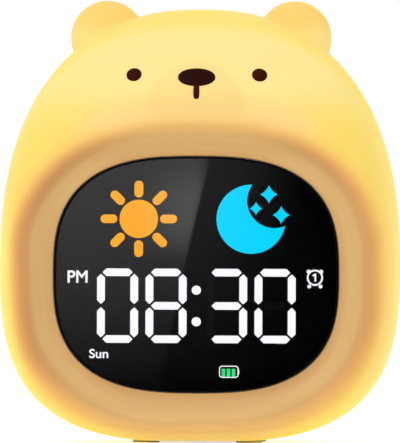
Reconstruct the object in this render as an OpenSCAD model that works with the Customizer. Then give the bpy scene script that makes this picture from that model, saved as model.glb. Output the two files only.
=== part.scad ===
// Bear-shaped alarm clock with a night light in the head.
// Millimetres, +Z up, the display faces -Y, the floor is z = 0 and the axis is x = 0, y = 0.

/* [Body] */
// Width of the body at its widest line
body_w = 120; // [116:1:130]
// Depth of the body from front rim to rear rim
body_d = 92; // [90:1:104]
// Height of the widest line above the floor
waist_z = 53.7; // [53:0.1:56]
// Height of the head above the widest line
head_h = 76.6; // [75:0.2:84]
// Sideways roll from the cheeks in to the rim around the window
cheek_roll = 8.5; // [7:0.5:11]
// Drop of the forehead from the top of the head to the window rim
forehead_drop = 34.8; // [33:0.2:37]
// Roll under the chin, from the floor up to the window rim
chin_roll = 5; // [5:0.1:6]
// Depth of the dish around the window
front_dish = 4; // [3:0.5:5]
// Depth of the shallow dish around the rear panel
rear_dish = 2; // [1:0.5:3]
// Wall of the soft silicone skin
skin_wall = 2.4; // [2:0.1:2.8]
// Wall of the hard housing under the skin
housing_wall = 1.8; // [1.6:0.1:2.2]

/* [Ears and face] */
// Radius of each ear
ear_r = 11.4; // [9:0.2:13]
// Thickness of each ear
ear_t = 13; // [9:0.5:15]
// Distance of each ear from the middle
ear_x = 28; // [24:0.5:32]
// How far each ear's centre lies under the top of the head
ear_sink = 8.6; // [6:0.2:11]
// Diameter of each eye
eye_d = 4.5; // [3:0.1:6]
// Distance of each eye from the middle
eye_x = 18.8; // [15:0.2:22]
// Drop of the eyes and nose from the top of the head
face_drop = 20; // [17:0.2:22]
// Width of the nose
nose_w = 11.1; // [8:0.1:13]
// Height of the nose along the forehead
nose_h = 6.1; // [5:0.1:7.5]
// Width of the mouth bar
mouth_w = 1.65; // [1.2:0.05:2.4]
// Length of the mouth bar along the forehead
mouth_h = 4.6; // [3.5:0.1:5.5]
// Height that the muzzle swells out of the forehead
muzzle_rise = 1.2; // [0.5:0.1:1.8]
// How far the eyes, nose and mouth stand proud of the skin
stud_rise = 0.7; // [0.4:0.1:1.2]
// Depth of the seat that each of them is set into
stud_seat = 1.1; // [0.8:0.1:1.4]

/* [Display] */
// Width of the lens
lens_w = 85; // [82:0.2:86]
// Height of the lens
lens_h = 70.4; // [68:0.2:71]
// Height of the display's centre above the floor
display_z = 50.5; // [50:0.1:51.5]
// Thickness of the lens at its edge
lens_t = 2.4; // [2:0.1:2.8]
// Crown of the lens in its middle
lens_crown = 0.6; // [0.2:0.1:1]
// Width of the housing ledge that the lens sits on
lens_ledge = 3.4; // [3:0.1:4.2]
// Thickness of the gasket under the lens
gasket_t = 0.5; // [0.3:0.1:0.8]
// Depth of the segment reflector
reflector_t = 6; // [5:0.2:8]
// Thickness of each light pipe at the front of its cavity
pipe_t = 2.5; // [1.5:0.1:3.5]
// Width of one digit
digit_w = 12.4; // [10:0.1:12.6]
// Height of one digit
digit_h = 22.4; // [18:0.1:24]
// Thickness of one segment
segment_t = 2.45; // [1.8:0.05:2.8]
// Distance between the segments' pointed tips and their shared corner
tip_gap = 0.35; // [0.25:0.05:0.6]
// Distance between two neighbouring digits
digit_pitch = 14.5; // [14.2:0.1:15.5]
// Distance between the two digits beside the colon
colon_pitch = 18.1; // [17.6:0.1:19]
// Diameter of the colon dots
dot_d = 2.7; // [2:0.1:3.2]
// Drop of the digits' centre line under the display's centre
digit_drop = 9.35; // [8:0.1:10]
// Radius of the sun's disc
sun_r = 5.8; // [4.5:0.1:6]
// Reach of the sun's rays from its centre
sun_reach = 11.5; // [10:0.1:12]
// Width of each ray
ray_w = 2.76; // [2:0.1:3]
// Number of rays
ray_count = 8; // [6:1:8]
// Radius of the moon
moon_r = 10.3; // [8:0.1:11]
// Radius of the circle cut out of the moon
moon_bite_r = 8.15; // [6.5:0.05:8.4]

/* [Electronics] */
// Thickness of every circuit board
board_t = 1.6; // [1:0.1:2]
// Diameter of the small screws
screw_d = 2; // [1.8:0.1:2.2]
// Diameter of the long housing screws
long_screw_d = 2.6; // [2.2:0.1:3]
// Outside diameter of the housing's screw posts
post_d = 8; // [7.4:0.2:9]
// Outside diameter of the small screw bosses
boss_d = 5.6; // [5:0.2:6]
// Width of the battery cell
cell_w = 50; // [40:1:52]
// Depth of the battery cell
cell_l = 34; // [30:1:36]
// Thickness of the battery cell
cell_t = 6.5; // [5:0.5:7]
// Diameter of the speaker
speaker_d = 28; // [24:1:30]
// Depth of the speaker from its flange to its magnet
speaker_t = 9; // [8:0.5:10]
// Width of the lamp board
lamp_w = 56; // [48:1:60]
// Depth of the lamp board
lamp_l = 30; // [24:1:34]
// Lamp LEDs along the board
lamp_columns = 5; // [3:1:6]
// Lamp LEDs across the board
lamp_rows = 3; // [2:1:3]

/* [Rear panel] */
// Width of the rear panel
panel_w = 68; // [66:1:72]
// Height of the rear panel
panel_h = 60; // [58:1:62]
// Height of the rear panel's centre above the floor
panel_z = 49; // [48:0.5:51]
// Thickness of the rear panel
panel_t = 2.4; // [2:0.1:2.6]
// Diameter of the push buttons
button_d = 8.6; // [7.5:0.1:9]
// Distance from the outer buttons' flanges to the edge of the hatch behind the panel
button_edge = 2; // [1.6:0.1:3]
// Height that the buttons stand proud of the panel
button_proud = 1.2; // [0.8:0.1:1.6]
// Travel of the push buttons
button_travel = 0.6; // [0.4:0.1:0.8]
// Diameter of the perforated grille
grille_d = 25; // [20:1:26]
// Diameter of one grille hole
grille_hole_d = 1.6; // [1.2:0.1:1.8]
// Distance between the grille holes
grille_pitch = 3; // [2.6:0.1:3.6]
// Width of the recess for the charging plug's grip
recess_w = 13; // [12.5:0.1:14]
// Height of the recess for the charging plug's grip
recess_h = 7.6; // [7.2:0.1:8]
// Travel of the slide switch
switch_travel = 2; // [1.5:0.1:2.5]

/* [Base] */
// Width of the base cover
base_w = 44; // [42:1:48]
// Depth of the base cover
base_l = 54; // [50:1:58]
// Thickness of the base cover
base_t = 1.5; // [1.4:0.1:1.6]
// Diameter of the rubber feet
foot_d = 8; // [6:0.5:8.5]
// How far the skin stays clear of the floor
floor_gap = 0.6; // [0.4:0.1:0.8]

/* [Hidden] */

// Clearances
fit = 0.2;          // between a seated piece and its opening
skin_gap = 0.3;     // between the skin and the housing
pipe_fit = 0.08;    // around each light pipe in its cavity
play = 0.2;         // between moving pieces and what stops them

// Roundness of the body's sections
head_n = 2.35;      // exponent of the head's outline
chin_n = 2.85;      // exponent of the lower outline
rim_n = 2.9;        // exponent of the rim around the dish
lens_n = 2.78;      // exponent of the lens outline
panel_n = 3.4;      // exponent of the rear panel's outline
base_n = 4;         // exponent of the base cover's outline
forehead_n = 2.1;   // roundness from the rim over the forehead
cheek_n = 2.6;      // roundness from the rim over the cheeks
under_n = 3;        // roundness from the rim under the chin
muzzle_w = 13;      // half-width of the muzzle's swell
muzzle_h = 10;      // half-height of the muzzle's swell
landing = 0.8;      // flat strip of skin around each opening

// Steps around and along the body
around = 56;
roll_steps = 8;
dish_steps = 3;

// Heights and depths of the body
top_z = waist_z + head_h;
rim_top = top_z - forehead_drop;
rim_z = (rim_top + chin_roll) / 2;
rim_h = rim_top - chin_roll;
rim_w = body_w - 2 * cheek_roll;
half_d = body_d / 2;
shell_in = skin_wall + skin_gap;
shell_core = shell_in + housing_wall;
ear_z = top_z - ear_sink;
face_z = top_z - face_drop;
muzzle_drop = 6;
muzzle_z = face_z - muzzle_drop;

// The display stack, from front to back
face_y = -half_d + front_dish;
ledge_y = face_y + shell_in;
lens_back = ledge_y - gasket_t;
lens_edge = lens_back - lens_t;
well_y = ledge_y + housing_wall;
pipe_y = ledge_y + fit;
cavity_y = pipe_y + reflector_t;
opening_w = lens_w - 2 * lens_ledge;
opening_h = lens_h - 2 * lens_ledge;
digit_z = display_z - digit_drop;
icon_rise = 16.6;   // from the display's centre up to the sun and moon
icon_z = display_z + icon_rise;
sun_x = -17.3;
moon_x = 16.3;
moon_bite = moon_r * [0.67, 0.534];
sparkles = moon_r * [[0.515, 0.723, 0.257], [0.141, 0.311, 0.189], [0.874, 0.126, 0.252]];
alarm_x = 35.8;
alarm_r = 2.45;
alarm_drop = 0.4;
alarm_z = display_z - alarm_drop;
battery_x = 10;
battery_drop = 29.3;
battery_z = display_z - battery_drop;
bar_w = 1;          // one bar of the battery icon
bar_h = 2.4;
bar_pitch = 1.5;
digit_xs = [
  -colon_pitch / 2 - digit_pitch, -colon_pitch / 2,
  colon_pitch / 2, colon_pitch / 2 + digit_pitch
];
board_w = opening_w - fit;
board_h = opening_h - fit;
boss_edge = 3.5;    // from a board's side edge to its bosses
boss_drop = 4.9;    // from a board's top edge to its bosses
display_boss = [board_w / 2 - boss_edge, board_h / 2 - boss_drop];

// Screw posts that join the two housings, below and above the display's bosses
post_out = 7.5;
post_drop = 3.7;
post_rise = 10.7;
post_inset = 23;
low_post = [display_boss[0] + post_out, display_z - display_boss[1] - post_drop];
high_post = [body_w / 2 - post_inset, display_z + display_boss[1] + post_rise];
post_points = [
  [-low_post[0], low_post[1]], [low_post[0], low_post[1]],
  [-high_post[0], high_post[1]], [high_post[0], high_post[1]]
];
shoulder = 4;       // depth of the clamped wall under the screw's head
long_head_d = 4.6;
long_head_t = 1.8;
long_screw_l = 13;
small_head_t = 1.2;

// The rear stack, from back to front
rear_y = half_d - rear_dish;
seat_y = rear_y - shell_in;
panel_face = seat_y + panel_t;
rear_wall = seat_y - housing_wall;
hatch_w = panel_w - 6;
hatch_h = panel_h - 6;
screw_drop = 8.5;   // from the hatch's top and bottom edges to the panel's screws
panel_screw = [hatch_w / 2 - boss_edge, hatch_h / 2 - screw_drop];
button_drop = 10;   // from the panel's centre down to the buttons
button_z = panel_z - button_drop;
board_space = 6.5;  // between the main board and the rear wall
main_y = rear_wall - board_space;
main_ears = 12;     // how much wider the main board is than the hatch
main_w = hatch_w + main_ears;
main_low = panel_z - hatch_h / 2;
main_high = button_z + 7;
main_boss = [main_w / 2 - 2.6, 4];
tact_w = 6;
tact_t = 3.5;
tact_reach = 1;
plunger_d = 3.4;
flange_t = 1;
flange_lip = 0.7;   // how far the flange reaches past the cap
flange_d = button_d + 2 * flange_lip;
button_pitch = (hatch_w - flange_d - 2 * button_edge) / 4;
control_drop = 20.5;  // from the panel's centre down to the socket and the switch
control_z = panel_z - control_drop;
usb_x = 10;
usb_w = 8.94;
usb_h = 3.26;
usb_wall = 0.3;
recess_wall = 1.2;
recess_depth = 4.5;
usb_mouth = panel_face - recess_depth;
switch_x = -14;
switch_w = 9;
switch_h = 4;
switch_t = 3.5;
knob_w = 2.4;
knob_h = 2.2;
knob_proud = 0.7;
grille_rise = 11;   // from the panel's centre up to the grille
grille_z = panel_z + grille_rise;
speaker_flange = 1;
magnet_d = speaker_d / 2;
magnet_t = 3;

// The base
plate_low = skin_wall + skin_gap - base_t + 0.1;
plate_high = plate_low + base_t;
foot_seat = plate_low + 0.5;
foot_edge = 6.5;
foot_x = base_w / 2 - foot_edge;
foot_y = base_l / 2 - foot_edge - 1;
base_screw = [base_w / 2 - foot_edge, 7];
base_boss_top = 9;
tray_t = 1.2;
tray_rim = 3;

// The lamp
bracket_t = 1.5;
bracket_over = 3;   // how far the bracket reaches past the posts
saddle_w = 4;
saddle_h = 3;
ribbon_w = 14;
ribbon_t = 0.6;
ribbon_lead = 5;    // straight run at each end of the ribbon
bracket_low = high_post[1] + post_d / 2 + fit;
bracket_high = bracket_low + bracket_t;
bracket_l = lamp_l + 2 * bracket_over;
lamp_screw_x = lamp_w / 2 - bracket_over;

// Superellipse term: keeps the sign of a sine or cosine
function term(c, n) = sign(c) * pow(abs(c), 2 / n);

// Point at angle t on an outline in the XZ plane, with its own reach above and below its middle
function outline_point(z, a, up, down, n_up, n_down, t) =
  let (s = sin(t), n = s >= 0 ? n_up : n_down)
  [a * term(cos(t), n), z + (s >= 0 ? up : down) * term(s, n)];

// Outline of the body at its widest, of its rims, and of the strips around its openings
function waist_point(t, inset) = outline_point(
  waist_z, body_w / 2 - inset, head_h - inset, waist_z - inset, head_n, chin_n, t);
function rim_point(t, inset) = outline_point(
  rim_z, (rim_w - inset) / 2, (rim_h - inset) / 2, (rim_h - inset) / 2, rim_n, rim_n, t);
function window_point(t) = outline_point(display_z, lens_w / 2 + fit + landing,
  lens_h / 2 + fit + landing, lens_h / 2 + fit + landing, lens_n, lens_n, t);
function hatch_point(t) = outline_point(panel_z, panel_w / 2 + fit + landing,
  panel_h / 2 + fit + landing, panel_h / 2 + fit + landing, panel_n, panel_n, t);

// Roundness from rim to waist, which changes from the forehead over the cheeks to the chin
function roll_n(t) =
  let (s = sin(t))
  cheek_n + (s > 0 ? forehead_n - cheek_n : under_n - cheek_n) * s * s;

// Depth of a smooth dish, from 0 at its floor to 1 at its rim
function dish_curve(v) = v * v * (3 - 2 * v);

// Swell of the muzzle at a point of the forehead
function swell(x, z, rise) =
  rise * exp(-pow(x / muzzle_w, 2) - pow((z - muzzle_z) / muzzle_h, 2));

// One point of the roll from the rim (angle 90) to the waist (angle 0)
function roll_point(t, angle, inset, rise) =
  let (e = 2 / roll_n(t), c = rim_point(t, inset), w = waist_point(t, inset),
       p = c + (w - c) * pow(cos(angle), e), depth = pow(sin(angle), e))
  [p[0], -(half_d - inset) * depth - swell(p[0], p[1], rise) * depth, p[1]];

// One point of a dish, between an opening's strip and the rim
function dish_point(strip, rim, v, y_rim, y_floor) =
  let (p = strip + (rim - strip) * v)
  [p[0], y_floor + (y_rim - y_floor) * dish_curve(v), p[1]];

angles = [for (i = [0:around - 1]) 360 * i / around];

// Rings of the body's surface from the window back to the rear panel
function body_rings(inset, rise) = concat(
  [for (k = [0:dish_steps - 1]) [for (t = angles) dish_point(
    window_point(t), rim_point(t, inset), k / dish_steps, inset - half_d, inset + face_y)]],
  [for (k = [0:roll_steps]) [for (t = angles) roll_point(t, 90 - 90 * k / roll_steps, inset, rise)]],
  [for (k = [1:roll_steps]) [for (t = angles)
    let (p = roll_point(t, 90 * k / roll_steps, inset, 0)) [p[0], -p[1], p[2]]]],
  [for (k = [1:dish_steps]) [for (t = angles) dish_point(
    hatch_point(t), rim_point(t, inset), 1 - k / dish_steps, half_d - inset, rear_y - inset)]]
);

// Closed solid through rings of equally many points, from the front ring to the rear ring
module loft(rings) {
  n = len(rings[0]);
  last = len(rings) - 1;
  polyhedron(
    points = [for (ring = rings) each ring],
    faces = concat(
      [[for (i = [n - 1:-1:0]) i]],
      [for (r = [0:last - 1], i = [0:n - 1])
        let (a = r * n + i, b = r * n + (i + 1) % n) [a, b, b + n]],
      [for (r = [0:last - 1], i = [0:n - 1])
        let (a = r * n + i, b = r * n + (i + 1) % n) [a, b + n, a + n]],
      [[for (i = [0:n - 1]) last * n + i]]
    )
  );
}

// Solid body, shrunk inwards by an inset
module body_form(inset, rise = 0) {
  loft(body_rings(inset, rise));
}

// A drawing in X and Z made solid from one depth to another
module slab(y_front, y_back) {
  translate([0, y_back, 0])
    rotate([90, 0, 0])
      linear_extrude(y_back - y_front)
        children();
}

// A rod along Y
module rod(x, z, d, y_front, y_back) {
  translate([x, y_back, z])
    rotate([90, 0, 0])
      cylinder(d = d, h = y_back - y_front, $fn = 40);
}

// Superellipse drawing
module oval(z, w, h, n) {
  polygon([for (t = angles) outline_point(z, w / 2, h / 2, h / 2, n, n, t)]);
}

// Rectangle with true round corners
module round_plate(w, h, r) {
  square([w - 2 * r, h], center = true);
  square([w, h - 2 * r], center = true);
  for (sx = [-1, 1], sz = [-1, 1])
    translate([sx * (w / 2 - r), sz * (h / 2 - r)])
      circle(r, $fn = 32);
}

// ---- Face ----

// Forehead depth at x, z: the roll's line through that point is found by halving
function side_of(t, p) =
  let (c = rim_point(t, 0), d = waist_point(t, 0) - c, q = p - c)
  d[0] * q[1] - d[1] * q[0];
function roll_angle(p, low, high, steps) =
  let (mid = (low + high) / 2)
  steps == 0 ? mid
  : side_of(mid, p) > 0 ? roll_angle(p, mid, high, steps - 1)
  : roll_angle(p, low, mid, steps - 1);
function forehead_y(x, z) =
  let (p = [abs(x), z], t = roll_angle(p, 5, 90, 24), c = rim_point(t, 0), w = waist_point(t, 0),
       f = norm(p - c) / norm(w - c), n = roll_n(t), depth = pow(1 - pow(f, n), 1 / n))
  -half_d * depth - swell(x, z, muzzle_rise) * depth;

// Places its children on the forehead at x, z, with their +Z along the outward normal
module on_forehead(x, z) {
  step = 0.5;
  slope_x = (forehead_y(x + step, z) - forehead_y(x - step, z)) / (2 * step);
  slope_z = (forehead_y(x, z + step) - forehead_y(x, z - step)) / (2 * step);
  tilt = atan2(slope_z, 1);
  turn = atan2(slope_x, sqrt(1 + slope_z * slope_z));
  translate([x, forehead_y(x, z), z])
    rotate([90 - tilt, 0, 0])
      rotate([0, turn, 0])
        children();
}

// Domed stud with an elliptical outline, seated below the surface
module stud(w, h, n) {
  rise_steps = 4;
  sides = 20;
  ring_angles = [for (i = [0:sides - 1]) -360 * i / sides];
  profile = concat(
    [[1, -stud_seat]],
    [for (k = [0:rise_steps]) let (a = 84 * k / rise_steps) [cos(a), stud_rise * sin(a)]]
  );
  loft([for (p = profile) [for (t = ring_angles)
    let (q = outline_point(0, w / 2, h / 2, h / 2, n, n, t)) [q[0] * p[0], q[1] * p[0], p[1]]]]);
}

// Seat for a stud, open towards the outside
module stud_pocket(w, h, n) {
  translate([0, 0, -stud_seat - 0.05])
    linear_extrude(stud_seat + stud_rise + 2)
      oval(0, w + fit, h + fit, n);
}

mouth_z = face_z - nose_h / 2 * 0.86 - mouth_h / 2 * 0.95 - 0.15;

// Soft round ear: a stack of hulls between thin discs, with a half-round edge
module ear(side) {
  layers = 6;
  leaf = 0.05;
  for (k = [0:layers - 1])
    hull()
      for (a = [180 * k / layers - 90, 180 * (k + 1) / layers - 90])
        translate([side * ear_x, ear_t / 2 * sin(a), ear_z])
          rotate([90, 0, 0])
            cylinder(r = ear_r - ear_t / 2 * (1 - cos(a)), h = leaf, center = true, $fn = 32);
}

module silicone_skin() {
  color([1, 0.86, 0.5])
    difference() {
      union() {
        body_form(0, muzzle_rise);
        for (side = [-1, 1])
          ear(side);
      }
      body_form(skin_wall);
      slab(-half_d - 1, 0)
        oval(display_z, lens_w + 2 * fit, lens_h + 2 * fit, lens_n);
      slab(0, half_d + 1)
        oval(panel_z, panel_w + 2 * fit, panel_h + 2 * fit, panel_n);
      translate([0, 0, -1])
        linear_extrude(waist_z / 2)
          oval(0, base_w + 2 * fit, base_l + 2 * fit, base_n);
      translate([-body_w / 2, -half_d, floor_gap - 10])
        cube([body_w, body_d, 10]);
      for (side = [-1, 1])
        on_forehead(side * eye_x, face_z)
          stud_pocket(eye_d, eye_d, 2);
      on_forehead(0, face_z)
        stud_pocket(nose_w, nose_h, 2.2);
      on_forehead(0, mouth_z)
        stud_pocket(mouth_w, mouth_h, 3.5);
    }
}

module eyes() {
  color([0.24, 0.1, 0.06])
    for (side = [-1, 1])
      on_forehead(side * eye_x, face_z)
        stud(eye_d, eye_d, 2);
}

module nose() {
  color([0.2, 0.1, 0.06])
    on_forehead(0, face_z)
      stud(nose_w, nose_h, 2.2);
}

module mouth() {
  color([0.24, 0.1, 0.07])
    on_forehead(0, mouth_z)
      stud(mouth_w, mouth_h, 3.5);
}

// ---- Display ----

module display_lens() {
  crown_steps = 5;
  rings = concat(
    [for (k = [1:crown_steps]) let (s = k / crown_steps) [for (t = angles)
      let (q = outline_point(0, lens_w / 2, lens_h / 2, lens_h / 2, lens_n, lens_n, t) * s)
      [q[0], lens_edge - lens_crown * (1 - s * s), display_z + q[1]]]],
    [[for (t = angles)
      let (q = outline_point(display_z, lens_w / 2, lens_h / 2, lens_h / 2, lens_n, lens_n, t))
      [q[0], lens_back, q[1]]]]
  );
  color([0.06, 0.06, 0.07, 0.8])
    loft(rings);
}

module lens_gasket() {
  color([0.1, 0.1, 0.1])
    slab(lens_back, ledge_y)
      difference() {
        oval(display_z, lens_w - 1, lens_h - 1, lens_n);
        oval(display_z, opening_w + 1, opening_h + 1, lens_n);
      }
}

// One segment, pointed at both ends, lying along X about its centre
module segment_bar(length) {
  polygon([
    [-length / 2, 0], [-length / 2 + segment_t / 2, segment_t / 2],
    [length / 2 - segment_t / 2, segment_t / 2], [length / 2, 0],
    [length / 2 - segment_t / 2, -segment_t / 2], [-length / 2 + segment_t / 2, -segment_t / 2]
  ]);
}

// Centre lines of a digit, and its seven segments as [x, z, angle, length]
column_x = (digit_w - segment_t) / 2;
row_z = (digit_h - segment_t) / 2;
segments = concat(
  [for (z = [-1, 0, 1]) [0, z * row_z, 0, 2 * (column_x - tip_gap)]],
  [for (x = [-1, 1], z = [-1, 1]) [x * column_x, z * row_z / 2, 90, row_z - 2 * tip_gap]]
);

module digit_drawing(x) {
  for (s = segments)
    translate([x + s[0], digit_z + s[1]])
      rotate(s[2])
        segment_bar(s[3]);
}

module colon_drawing() {
  for (side = [-1, 1])
    translate([0, digit_z + side * digit_h * 0.21])
      circle(d = dot_d, $fn = 32);
}

module sun_drawing() {
  translate([sun_x, icon_z]) {
    circle(sun_r, $fn = 48);
    for (k = [0:ray_count - 1])
      rotate(360 / ray_count * k) {
        ray_start = sun_r + 0.7 + ray_w / 2;
        ray_end = sun_reach - ray_w / 2;
        translate([ray_start, -ray_w / 2])
          square([ray_end - ray_start, ray_w]);
        translate([ray_start, 0])
          circle(d = ray_w, $fn = 24);
        translate([ray_end, 0])
          circle(d = ray_w, $fn = 24);
      }
  }
}

// Four-pointed sparkle with hollow sides
module sparkle(r) {
  polygon([for (t = [0:15:345]) [r * term(cos(t), 0.75), r * term(sin(t), 0.75)]]);
}

module moon_drawing() {
  translate([moon_x, icon_z]) {
    difference() {
      circle(moon_r, $fn = 64);
      translate(moon_bite)
        circle(moon_bite_r, $fn = 64);
    }
    for (s = sparkles)
      translate([s[0], s[1]])
        sparkle(s[2]);
  }
}

module alarm_drawing() {
  translate([alarm_x, alarm_z]) {
    circle(alarm_r, $fn = 32);
    for (side = [-1, 1])
      rotate(side * 42)
        translate([0, alarm_r + 0.1])
          round_plate(0.6 * alarm_r, 0.4 * alarm_r, 0.18 * alarm_r);
  }
}

module battery_drawing() {
  translate([battery_x, battery_z])
    for (k = [-1:1])
      translate([(k - 0.2) * bar_pitch, 0])
        square([bar_w, bar_h], center = true);
}

module light_pipe() {
  slab(pipe_y, pipe_y + pipe_t)
    children();
}

module segment_reflector() {
  color([0.08, 0.08, 0.08])
    slab(pipe_y, cavity_y)
      difference() {
        oval(display_z, opening_w - 2 * fit, opening_h - 2 * fit, lens_n);
        offset(delta = pipe_fit) {
          for (x = digit_xs)
            digit_drawing(x);
          colon_drawing();
          sun_drawing();
          moon_drawing();
          alarm_drawing();
          battery_drawing();
        }
      }
}

module digit(k) {
  color("white")
    light_pipe()
      digit_drawing(digit_xs[k]);
}

module colon_dots() {
  color("white")
    light_pipe()
      colon_drawing();
}

module sun_icon() {
  color([1, 0.65, 0.05])
    light_pipe()
      sun_drawing();
}

module moon_icon() {
  color([0.05, 0.8, 1])
    light_pipe()
      moon_drawing();
}

module alarm_icon() {
  color("white")
    light_pipe()
      alarm_drawing();
}

module battery_icon() {
  color([0.2, 0.75, 0.4])
    light_pipe()
      battery_drawing();
}

module at_display_bosses() {
  for (sx = [-1, 1], sz = [-1, 1])
    translate([sx * display_boss[0], 0, display_z + sz * display_boss[1]])
      children();
}

module display_board() {
  color([0.05, 0.35, 0.2])
    difference() {
      slab(cavity_y, cavity_y + board_t)
        translate([0, display_z])
          round_plate(board_w, board_h, 6);
      at_display_bosses()
        rod(0, 0, screw_d + 2 * fit, cavity_y - 1, cavity_y + board_t + 1);
    }
}

// One LED package on the front of the display board, lying or upright
module display_led(x, z, w = 1.6, h = 1) {
  translate([x - w / 2, cavity_y - 0.7, z - h / 2])
    cube([w, 0.7, h]);
}

module display_leds() {
  color([1, 1, 0.85]) {
    for (x = digit_xs, s = segments)
      display_led(x + s[0], digit_z + s[1]);
    for (side = [-1, 1])
      display_led(0, digit_z + side * digit_h * 0.21);
    display_led(sun_x, icon_z);
    display_led(moon_x - moon_r / 2, icon_z - moon_r / 3);
    display_led(battery_x - 0.2 * bar_pitch, battery_z, 1, 1.6);
  }
}

// Pan-head screw along Y, with its head towards +Y
module screw(x, z, y_seat, d, head_d, head_t, length) {
  rod(x, z, head_d, y_seat, y_seat + head_t);
  rod(x, z, d, y_seat - length, y_seat);
}

module display_screws() {
  color("silver")
    at_display_bosses()
      screw(0, 0, cavity_y + board_t, screw_d, screw_d + 1.8, small_head_t, 5);
}

// Flat cable as a band along a path in the YZ plane, which runs towards +Y all the way
module ribbon(path, width, thickness) {
  half = [0, thickness / 2];
  translate([-width / 2, 0, 0])
    rotate([90, 0, 90])
      linear_extrude(width)
        polygon(concat(
          [for (p = path) p - half],
          [for (k = [len(path) - 1:-1:0]) path[k] + half]
        ));
}

module display_ribbon() {
  front = cavity_y + board_t;
  back = main_y - board_t;
  back_z = (main_low + main_high) / 2;
  color([0.85, 0.85, 0.8])
    ribbon([[front, digit_z], [front + ribbon_lead, digit_z], [(front + back) / 2, back_z - saddle_h],
            [back - ribbon_lead, back_z], [back, back_z]], ribbon_w, ribbon_t);
}

// ---- Housings ----

module housing_form() {
  difference() {
    body_form(shell_in);
    body_form(shell_core);
  }
}

module front_housing() {
  color([0.93, 0.92, 0.88])
    difference() {
      union() {
        housing_form();
        intersection() {
          union() {
            for (p = post_points)
              rod(p[0], p[1], post_d, -half_d, 0);
            for (sx = [-1, 1])
              translate([sx * base_screw[0], -base_screw[1], 0])
                cylinder(d = boss_d, h = base_boss_top, $fn = 40);
          }
          body_form(shell_in + 0.3);
        }
        at_display_bosses()
          rod(0, 0, boss_d, well_y - housing_wall / 2, cavity_y);
      }
      translate([-body_w, -play, -1])
        cube([2 * body_w, body_d, 2 * top_z]);
      translate([-body_w / 2, -half_d, plate_high - 10])
        cube([body_w, body_d, 10]);
      slab(-half_d, cavity_y)
        oval(display_z, opening_w, opening_h, lens_n);
      for (p = post_points)
        rod(p[0], p[1], long_screw_d - 0.2, -12, 1);
      at_display_bosses()
        rod(0, 0, screw_d - 0.1, cavity_y - 5.2, cavity_y + 1);
      for (sx = [-1, 1])
        translate([sx * base_screw[0], -base_screw[1], 0])
          cylinder(d = screw_d - 0.1, h = base_boss_top - 0.8, $fn = 32);
    }
}

// Bosses of the rear housing that carry the rear panel and the main board
module at_panel_screws() {
  for (sx = [-1, 1], sz = [-1, 1])
    translate([sx * panel_screw[0], 0, panel_z + sz * panel_screw[1]])
      children();
}

module at_board_screws() {
  for (sx = [-1, 1], z = [main_low + main_boss[1], main_high - main_boss[1]])
    translate([sx * main_boss[0], 0, z])
      children();
}

module rear_housing() {
  color([0.93, 0.92, 0.88])
    difference() {
      union() {
        housing_form();
        intersection() {
          union() {
            for (p = post_points)
              rod(p[0], p[1], post_d, 0, half_d);
            for (sx = [-1, 1])
              translate([sx * base_screw[0], base_screw[1], 0])
                cylinder(d = boss_d, h = base_boss_top, $fn = 40);
            at_board_screws()
              rod(0, 0, boss_d - 0.6, main_y, half_d);
          }
          body_form(shell_in + 0.3);
        }
        at_panel_screws()
          rod(0, 0, boss_d, seat_y - 6, seat_y);
      }
      translate([-body_w, play - body_d, -1])
        cube([2 * body_w, body_d, 2 * top_z]);
      translate([-body_w / 2, -half_d, plate_high - 10])
        cube([body_w, body_d, 10]);
      difference() {
        slab(half_d / 2, half_d)
          oval(panel_z, hatch_w, hatch_h, panel_n);
        at_panel_screws()
          rod(0, 0, boss_d, half_d / 2, half_d);
      }
      for (p = post_points) {
        rod(p[0], p[1], long_screw_d + 2 * fit, -1, half_d);
        rod(p[0], p[1], long_head_d + 2 * fit, shoulder, half_d);
      }
      at_panel_screws()
        rod(0, 0, screw_d - 0.1, seat_y - 5.5, seat_y + 1);
      at_board_screws()
        rod(0, 0, screw_d - 0.1, main_y - 1, main_y + 4);
      for (sx = [-1, 1])
        translate([sx * base_screw[0], base_screw[1], 0])
          cylinder(d = screw_d - 0.1, h = base_boss_top - 0.8, $fn = 32);
    }
}

module housing_screws() {
  color("silver")
    for (p = post_points)
      screw(p[0], p[1], shoulder, long_screw_d, long_head_d, long_head_t, long_screw_l);
}

// ---- Night light ----

module lamp_bracket() {
  color([0.85, 0.85, 0.83])
    difference() {
      union() {
        translate([-high_post[0] - bracket_over, -bracket_l / 2, bracket_low])
          cube([2 * (high_post[0] + bracket_over), bracket_l, bracket_t]);
        for (sx = [-1, 1], sy = [-1, 1])
          translate([sx * high_post[0] - post_d / 2, sy * bracket_l / 4 - saddle_w / 2,
                     bracket_low - saddle_h])
            cube([post_d, saddle_w, saddle_h]);
      }
      for (sx = [-1, 1])
        rod(sx * high_post[0], high_post[1], post_d + 2 * fit, -half_d, half_d);
      for (sx = [-1, 1])
        translate([sx * lamp_screw_x, 0, bracket_low - 1])
          cylinder(d = screw_d - 0.1, h = bracket_t + 2, $fn = 32);
    }
}

module lamp_board() {
  color([0.95, 0.95, 0.93])
    difference() {
      translate([0, 0, bracket_high])
        linear_extrude(board_t)
          round_plate(lamp_w, lamp_l, 3);
      for (sx = [-1, 1])
        translate([sx * lamp_screw_x, 0, bracket_high - 1])
          cylinder(d = screw_d + 2 * fit, h = board_t + 2, $fn = 32);
    }
}

module lamp_leds() {
  column_pitch = (lamp_w - 14) / (lamp_columns - 1);
  row_pitch = (lamp_l - 8) / (lamp_rows - 1);
  color([1, 0.95, 0.6])
    for (i = [0:lamp_columns - 1], j = [0:lamp_rows - 1])
      translate([(i - (lamp_columns - 1) / 2) * column_pitch, (j - (lamp_rows - 1) / 2) * row_pitch,
                 bracket_high + board_t + 0.4])
        cube([3.5, 2.8, 0.8], center = true);
}

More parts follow.
